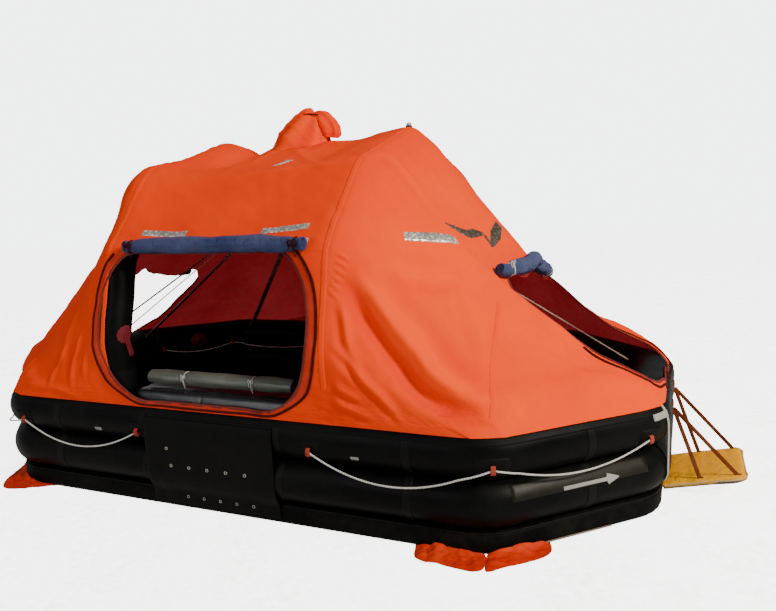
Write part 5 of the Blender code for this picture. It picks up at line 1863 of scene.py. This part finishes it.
@dataclass
class Sleeve:
    """The hoist sleeve on the roof: gathered cloth, choked by a cord, its top flopped to the right."""

    rows: tuple[tuple[float, float, float], ...] = (
        (-0.064, -0.030, 0.258), (-0.058, -0.005, 0.230), (-0.046, 0.032, 0.198), (-0.033, 0.072, 0.174),
        (-0.020, 0.110, 0.150), (-0.008, 0.147, 0.122), (0.003, 0.180, 0.098), (0.009, 0.202, 0.078),
        (0.013, 0.208, 0.036),
    )
    flap: tuple[tuple[float, float, float], ...] = (
        (0.034, 0.186, 0.040), (0.085, 0.164, 0.058), (0.138, 0.112, 0.070), (0.168, 0.058, 0.068),
        (0.164, 0.020, 0.046),
    )
    choke: float = 0.090

    def build(self, canopy: Canopy, roof: float) -> None:
        """Makes the sleeve and its cord.

        Args:
            canopy: The canopy that it is sewn to.
            roof: Height of the roof at its middle.
        """
        form = Form("hoist_sleeve_cloth")
        about = full_turn(110)
        for rows, count, depth, seed in ((self.rows, 70, 0.062, 4), (self.flap, 44, 0.10, 9)):
            table = through(np.array(rows), count)
            centre = xyz(table[:, 0], 0.0, roof + table[:, 1])
            share = shares(count)[:, None]
            pleat = np.cos(9 * about + 2.4 * np.sin(2 * about) + 2.0 * share)
            pleat = pleat + 0.6 * np.cos(5 * about + 4 * share)
            size = table[:, 2:3] * (1 + depth * pleat * (0.25 + 0.75 * share))
            section = np.stack((np.cos(about) * size, np.sin(about) * size), -1)
            skin = carry(centre, section, Y_AXIS)
            skin = skin + 0.005 * ripple(skin, 0.12, seed, 2)[..., None] * unit(skin - centre[:, None])
            if rows is self.rows:
                foot = canopy.settle(skin[:24], 0.0015, 2, 1)[0]
                skin[:24] += (foot - skin[:24]) * (1 - ease(share[:24] / 0.24))[..., None]
            # The mark paints shade into the pleats' hollows and light onto their folds.
            form.add(skin, Wrap.TUBE, caps=True, mark=np.clip(0.5 + 0.32 * pleat, 0, 1))
        cloth = form.build([ORANGE], ("hoist_sleeve",), "canopy_fabric")
        t = full_turn(60)
        x, y = circle(self.choke, 60).T
        ring = xyz(0.016 + x, y, roof + 0.190 + 0.004 * np.sin(3 * t))
        Form("sleeve_cord").bar(ring, circle(0.005, 8), UP, True).build([DARK_RED], slot="rope")


@dataclass
class Bridle:
    """The lifting bridle: a sewn head, its ring, and eight webbing straps down to the tubes."""

    head_z: float = UPPER_Z + 1.52
    head_half: float = 0.040
    width: float = 0.045
    thick: float = 0.006
    feet: tuple[tuple[str, float, float, float], ...] = (
        ("near_left", -1.621, -1.300, 0.012), ("near_right", 1.621, -1.300, 0.012),
        ("far_left", -1.621, 1.300, -0.024), ("far_right", 1.621, 1.300, -0.024),
        ("end_left_near", -2.384, -0.502, -0.024), ("end_left_far", -2.384, 0.502, 0.012),
        ("end_right_near", 2.384, -0.502, -0.024), ("end_right_far", 2.384, 0.502, 0.012),
    )

    def build(self) -> None:
        """Makes the straps, the head and the ring."""
        top = np.array((0.0, 0.0, self.head_z))
        ring_of_tubes = PLAN.at(np.linspace(0, PLAN.length, 900), 0.0, UPPER_Z)
        for name, x, y, lift in self.feet:
            foot = np.array((x, y, UPPER_Z))
            start = top + unit(np.array((x, y, 0.0))) * 0.050 + UP * lift
            share = shares(240)[:, None]
            line = start + (foot - start) * share
            reach = np.linalg.norm(line[:, None] - ring_of_tubes[None], axis=2).min(1)
            line = line[reach > TUBE_R + 0.002][::6]
            form = Form("strap_" + name).bar(line, oblong(self.width, self.thick, 16, 6.0), flip=True)
            form.build([WEBBING], ("bridle_strap_" + name,), "webbing")
        head = Form("bridle_head_sewn")
        t = full_turn(48)
        z = np.linspace(-self.head_half, self.head_half, 13)
        size = 0.0495 - 0.006 * (np.abs(z) / self.head_half) ** 6 + 0.0014 * np.sin(z * 500)
        wall = xyz(np.cos(t) * size[:, None], np.sin(t) * size[:, None], z[:, None]) + top
        head.add(wall, Wrap.TUBE, caps=True)
        head.build([WEBBING], ("bridle_head",), "webbing")
        path = top + 0.055 * xyz(np.cos(t), 0.0, np.sin(t)) + UP * (self.head_half + GAP + 0.064)
        ring = Form("lifting_ring_bar").bar(path, circle(0.009, 12), Y_AXIS, True)
        ring.build([STEEL], ("lifting_ring",), "steel")


@dataclass
class Lifelines:
    """Ropes in bights outside and inside the tubes, tied to loops of red webbing on black patches."""

    radius: float = 0.0050
    height: float = UPPER_Z - 0.050
    sags: tuple[float, float] = (0.135, 0.088)
    ends: tuple[float, ...] = (0.621, 1.656, 2.585)
    right_ends: tuple[float, ...] = (0.672, 1.656, 2.585)
    left_ends: tuple[float, ...] = (0.565, 1.550, 2.480)
    inner: tuple[float, ...] = (-1.50, -0.45, 0.68, 1.83, 2.50)
    inner_sag: float = 0.05
    bulge: float = 0.012
    places: int = 44

    @property
    def reach(self) -> float:
        """How far outside the tubes' centre line the rope hangs."""
        touch = TUBE_R + self.radius + GAP
        return math.sqrt(touch**2 - (UPPER_Z - self.height) ** 2) + 0.008

    def bights(self, marks: Array, sags: Array, out: float, bulge: float) -> Array:
        """The rope's centre line: each bight falls by 4 sag t (1 - t) between two marks.

        Args:
            marks: Distances of the fixings.
            sags: Fall of each bight's middle.
            out: How far outside the centre line.
            bulge: How far a bight's middle stands off.

        Returns:
            The points.
        """
        share = np.tile(shares(self.places)[:-1], len(marks) - 1)
        start, end, sag = (np.repeat(row, self.places - 1) for row in (marks[:-1], marks[1:], sags))
        off = bulge * np.sin(math.pi * share)
        line = PLAN.at(start + (end - start) * share, out + off, self.height - sag * 4 * share * (1 - share))
        return np.vstack((line, PLAN.at(marks[-1], out, self.height)))

    def build(self) -> None:
        """Makes the ropes, loops and patches."""
        half = PLAN.length / 2
        marks, sags = np.array(self.ends), np.array(self.sags)
        right, left = np.array(self.right_ends), np.array(self.left_ends)
        quarters = (
            ("near_right", right, sags), ("near_left", -left[::-1], sags[::-1]),
            ("far_right", half - marks[::-1], sags[::-1]), ("far_left", half + marks, sags),
        )
        rope = Form("lifelines_outside")
        loops, patches = Form("lifeline_loops"), Form("lifeline_patches")
        for _, places, falls in quarters:
            rope.bar(self.bights(places, falls, self.reach, self.bulge), circle(self.radius, 10))
            for place in places:
                self.fixing(loops, patches, place, self.reach, 1)
        rope.build([ROPE], tuple("lifeline_" + name for name, *_ in quarters), "rope")
        inside = Form("lifelines_inside")
        inner = np.array(self.inner)
        for places in (-inner[::-1], half + inner):
            falls = np.full(len(inner) - 1, self.inner_sag)
            inside.bar(self.bights(places, falls, -self.reach, -self.bulge), circle(self.radius, 10))
            for place in places:
                self.fixing(loops, patches, place, -self.reach, -1)
        inside.build([ROPE], ("inner_lifeline_near", "inner_lifeline_far"), "rope")
        loops.build([RED_WEB], slot="strap_webbing")
        patches.build([PATCH_BLACK], slot="tube_rubber", outward=False)

    def fixing(self, loops: Form, patches: Form, place: float, out: float, side: int) -> None:
        """Adds one fixing: a round-cornered patch on the tube and a webbing loop that holds the rope.

        Args:
            loops: The form of the loops.
            patches: The form of the patches.
            place: How far round the plan.
            out: Where the rope is.
            side: 1 outside the tube, -1 inside it.
        """
        middle = 0.0 if side > 0 else 180.0
        Tubes().patch(patches, place, 0.120, (middle - 42.0, middle + 4.0))
        centre = PLAN.at(place, out, self.height)
        away = PLAN.out(np.array(place)) * side
        t = full_turn(26)[:, None]
        path = centre + away * (0.013 * np.cos(t) - 0.004) + UP * (0.024 * np.sin(t) - 0.002)
        loops.bar(path, oblong(0.003, 0.026, 12, 6.0), np.cross(away, UP), True)


@dataclass
class Ramp:
    """The boarding ramp: an inflated pad with piping, and the webbing that holds it to the upper tube."""

    length: float = 0.490
    thick: float = 0.040
    half: float = 0.260
    x: float = HALF_LENGTH + FLOOR_PROUD - 0.014
    y: float = -0.040
    z: float = 0.030
    tilt: float = math.radians(13.0)
    tie: tuple[float, float] = (HALF_LENGTH + TUBE_R - 0.002, UPPER_Z - 0.014)

    def place(self, spots: Array) -> Array:
        """Turns points from the ramp's own frame, at its inner edge, into the raft's.

        Args:
            spots: The points.

        Returns:
            The turned points.
        """
        x, y, z = np.moveaxis(spots, -1, 0)
        c, s = math.cos(self.tilt), math.sin(self.tilt)
        return xyz(self.x + x * c - z * s, self.y + y, self.z + x * s + z * c)

    def build(self) -> None:
        """Makes the pad, its piping and its straps."""
        share = shares(50)[:, None]
        edge = (1 - np.abs(2 * share - 1) ** 10) ** 0.5
        across, depth = oblong(2.0, 2.0, 72, 7.0).T
        y = across * self.half * (0.97 + 0.03 * edge)
        z = depth * (self.thick / 2 - 0.003 + 0.0030 * np.cos(across * math.pi * 2.5)) * edge
        pad = self.place(xyz(share * self.length, y, z))
        pad = pad + 0.0018 * ripple(pad, 0.12, 14, 2)[..., None] * UP
        pad[..., 2] = np.maximum(pad[..., 2], 0.002)
        form = Form("ramp_pad").add(pad, Wrap.TUBE, caps=True)
        ramp = form.build([YELLOW], ("boarding_ramp",), "ramp_fabric")
        hem = Form("ramp_edges")
        half_end = np.array((
            (0.02, -1.0, 0.0), (self.length * 0.6, -1.0, 0.0), (self.length - 0.03, -0.99, 0.0),
            (self.length - 0.004, -0.9, 0.0), (self.length, -0.5, 0.0), (self.length, 0.0, 0.0),
        ))
        outline = np.vstack((half_end, half_end[-2::-1] * (1, -1, 1))) * (1.0, self.half - 0.002, 1.0)
        line = through(outline, 150)
        hem.bar(self.place(line), circle(0.006, 8))
        low = line * (1.0, 0.985, 1.0) - (0.004, 0.0, 0.013)
        hem.bar(self.place(low), oblong(0.006, 0.016, 10), finish=1)
        hem.build([PIPING, BROWN_TAPE], slot="ramp_fabric")
        for word, tube_y, ramp_y in (("near", -0.255, -0.235), ("far", 0.215, 0.225)):
            form = Form("ramp_webbing_" + word)
            foot = np.array((self.tie[0] + 0.006, tube_y, self.tie[1]))
            for place in (0.235, 0.445):
                head = self.place(np.array((place, ramp_y, self.thick / 2 - 0.002)))
                line = np.linspace(foot, head + (0.0, 0.0, -0.004), 16)
                line = np.vstack((line, line[-1] + np.outer((0.5, 1.0), (0.02, 0.0, 0.003))))
                form.bar(line, oblong(0.005, 0.024, 14, 6.0), np.cross(Y_AXIS, unit(head - foot)))
            Tubes().patch(form, PLAN.length / 4 + tube_y, 0.082, (-22.0, 12.0), lift=0.008)
            form.build([RAMP_WEB], ("ramp_straps_" + word,), "strap_webbing")


@dataclass
class Stowage:
    """The padded sill of the side doorway, laid over the tube, and the grey bundle on it."""

    half: float = ARCH_X - 0.165
    section: tuple[tuple[float, float], ...] = (
        (-1.412, 0.640), (-1.414, 0.700), (-1.396, 0.738), (-1.350, 0.745), (-1.290, 0.744), (-1.235, 0.745),
        (-1.203, 0.725), (-1.198, 0.690), (-1.215, 0.672), (-1.290, 0.688), (-1.350, 0.686), (-1.392, 0.662),
    )

    def build(self) -> None:
        """Makes the sill, its seam and the bundle."""
        x = np.linspace(-self.half, self.half, 150)[:, None]
        ring = through(np.array(self.section), 56, closed=True)
        fade = (1 - (np.abs(x) / self.half) ** 22) ** 0.5
        middle = ring.mean(0)
        yz = middle + (ring - middle) * (0.75 + 0.25 * fade[..., None])
        grid = xyz(x, yz[..., 0], yz[..., 1])
        out = unit(grid - grid.mean(1, keepdims=True))
        folds = 0.0022 * ripple(grid * (1.0, 2.0, 2.0), 0.45, 17) - 0.004 * bell(grid[..., 0] + 0.10, 0.006)
        grid = grid + (folds[..., None] - 0.002) * out
        form = Form("door_sill_cloth").add(off_upper_tube(grid, 0.001), Wrap.TUBE, caps=True)
        sill = form.build([SILL_BLACK], ("door_sill",), "sill_fabric")
        path = xyz(np.linspace(-0.58, 0.48, 24), 0.05 - HALF_WIDTH, UPPER_Z + 0.262)
        Roll(
            "rolled_bundle", path, 0.050, (0.27, 0.745), [GREY_ROLL, STRING], "bundle_fabric",
            "stowed_bundle", (0.82, 1.0, 0.93, 1.0, 1.02, 0.98, 0.92, 1.0, 0.80), pinch=0.12,
            tie_radius=0.003,
        ).build()


Outline = tuple[tuple[float, float], ...]


@dataclass
class Pockets:
    """Slack water pockets that hang from under the floor's edge and lie on the ground."""

    cloth: float = 0.0012
    fixed: float = 0.042
    outlines: tuple[tuple[str, int, Outline, Outline], ...] = (
        ("left", -1, ((0.38, -0.19), (0.17, -0.03), (-0.30, 0.05)),
         ((0.38, -0.19), (0.07, 0.235), (-0.30, 0.06))),
        ("mid", 1, ((-0.39, 0.045), (-0.20, 0.05), (-0.02, 0.045)),
         ((-0.38, 0.10), (-0.33, 0.225), (-0.16, 0.245), (0.02, 0.235), (0.03, 0.12))),
        ("right", 1, ((0.01, 0.045), (0.17, -0.05), (0.27, -0.235)),
         ((0.02, 0.12), (0.05, 0.232), (0.13, 0.165), (0.32, -0.080), (0.28, -0.21))),
    )

    def build(self) -> None:
        """Lays three pockets on the near side and two on the far side."""
        for word, side_y in (("near", -1), ("far", 1)):
            for name, side_x, inner, outer in self.outlines:
                if side_y < 0 or name != "mid":
                    self.pocket(f"{word}_{name}", side_x, side_y, np.array(inner), np.array(outer))

    def pocket(self, name: str, side_x: int, side_y: int, inner: Array, outer: Array) -> None:
        """Makes one pocket, from its fixing on the floor's edge down and out, with folds that fade upward.

        Args:
            name: Its place.
            side_x: Which end.
            side_y: Which side.
            inner: Its line along the floor's edge, from the tubes' corner.
            outer: Its free edge on the ground, from the same corner.
        """
        u, v = shares(70)[:, None], shares(44)
        start, end = (through(np.pad(edge, ((0, 0), (0, 1))), len(u))[:, None] for edge in (inner, outer))
        flat = start * (1 - v[:, None]) + end * v[:, None]
        x = side_x * (SIDE_HALF + flat[..., 0])
        y = side_y * (HALF_WIDTH + flat[..., 1])
        seed = sum(map(ord, name))
        spots = xyz(x, y, 0.0)
        folds = np.abs(ripple(spots, 0.19, seed, 3)) * 0.017 + 0.007 * (1 + ripple(spots, 0.32, seed + 1, 1))
        folds = folds * (0.25 + 0.75 * np.sin(math.pi * np.clip(v, 0.05, 1.0)))
        z = self.fixed * (1 - ease(v / 0.45)) + folds
        z = np.clip(z * (0.35 + 0.65 * np.sin(math.pi * np.clip(u, 0.02, 0.98)) ** 0.4), 0.0025, 0.105)
        spots[..., 2] = z
        flip = side_x * side_y > 0
        # The mark paints the pockets darker where they lie low on the ground and lighter where they stand
        # up: painted shade.
        form = Form("pocket_" + name).add(spots, flip=flip, mark=np.clip(z / 0.045, 0, 1))
        pocket = form.build([POCKET], ("water_pocket_" + name,), "pocket_fabric", self.cloth, False)
        side = math.sqrt(form.area())


@dataclass
class Lamp:
    """The canopy's lamp: a round base and a clear lens on the right arch."""

    def build(self, height: float) -> None:
        """Turns the lamp's profile about its axis.

        Args:
            height: Height of the cloth that it stands on.
        """
        turn = full_turn(32)
        form = Form("lamp_turned")
        for finish, profile in (
            (0, ((0.0238, -0.001), (0.0238, 0.006), (0.0215, 0.010), (0.0185, 0.0115))),
            (1, ((0.0185, 0.0110), (0.0180, 0.020), (0.0150, 0.0265), (0.0090, 0.0300), (0.0020, 0.0309))),
        ):
            r, z = through(np.array(profile), 12).T[..., None]
            wall = xyz(ARCH_X + np.cos(turn) * r, np.sin(turn) * r, height + z)
            form.add(wall, Wrap.TUBE, caps=True, finish=finish)
        form.build([LAMP_BODY, LAMP_LENS], ("canopy_lamp",), "lamp_plastic")


def main() -> None:
    """Builds every sub-assembly in order."""
    logging.basicConfig(level=logging.INFO, format="%(name)s %(message)s")
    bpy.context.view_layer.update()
    Studio().build()
    canopy = Canopy()
    canopy.build()
    Arches().build(canopy)
    Tubes().build()
    Floor().build()
    Curtains().build(canopy)
    roof = canopy.settle(np.array(((0.0, 0.0, 2.3),)), 0.0, 2, 1)[0][0, 2]
    crown = canopy.settle(np.array(((ARCH_X, 0.0, 2.37),)), 0.0, 2, 1)[0][0, 2]
    Sleeve().build(canopy, float(roof))
    Lamp().build(float(crown))
    Bridle().build()
    Lifelines().build()
    Ramp().build()
    Stowage().build()
    Pockets().build()


if __name__ == "__main__":
    main()
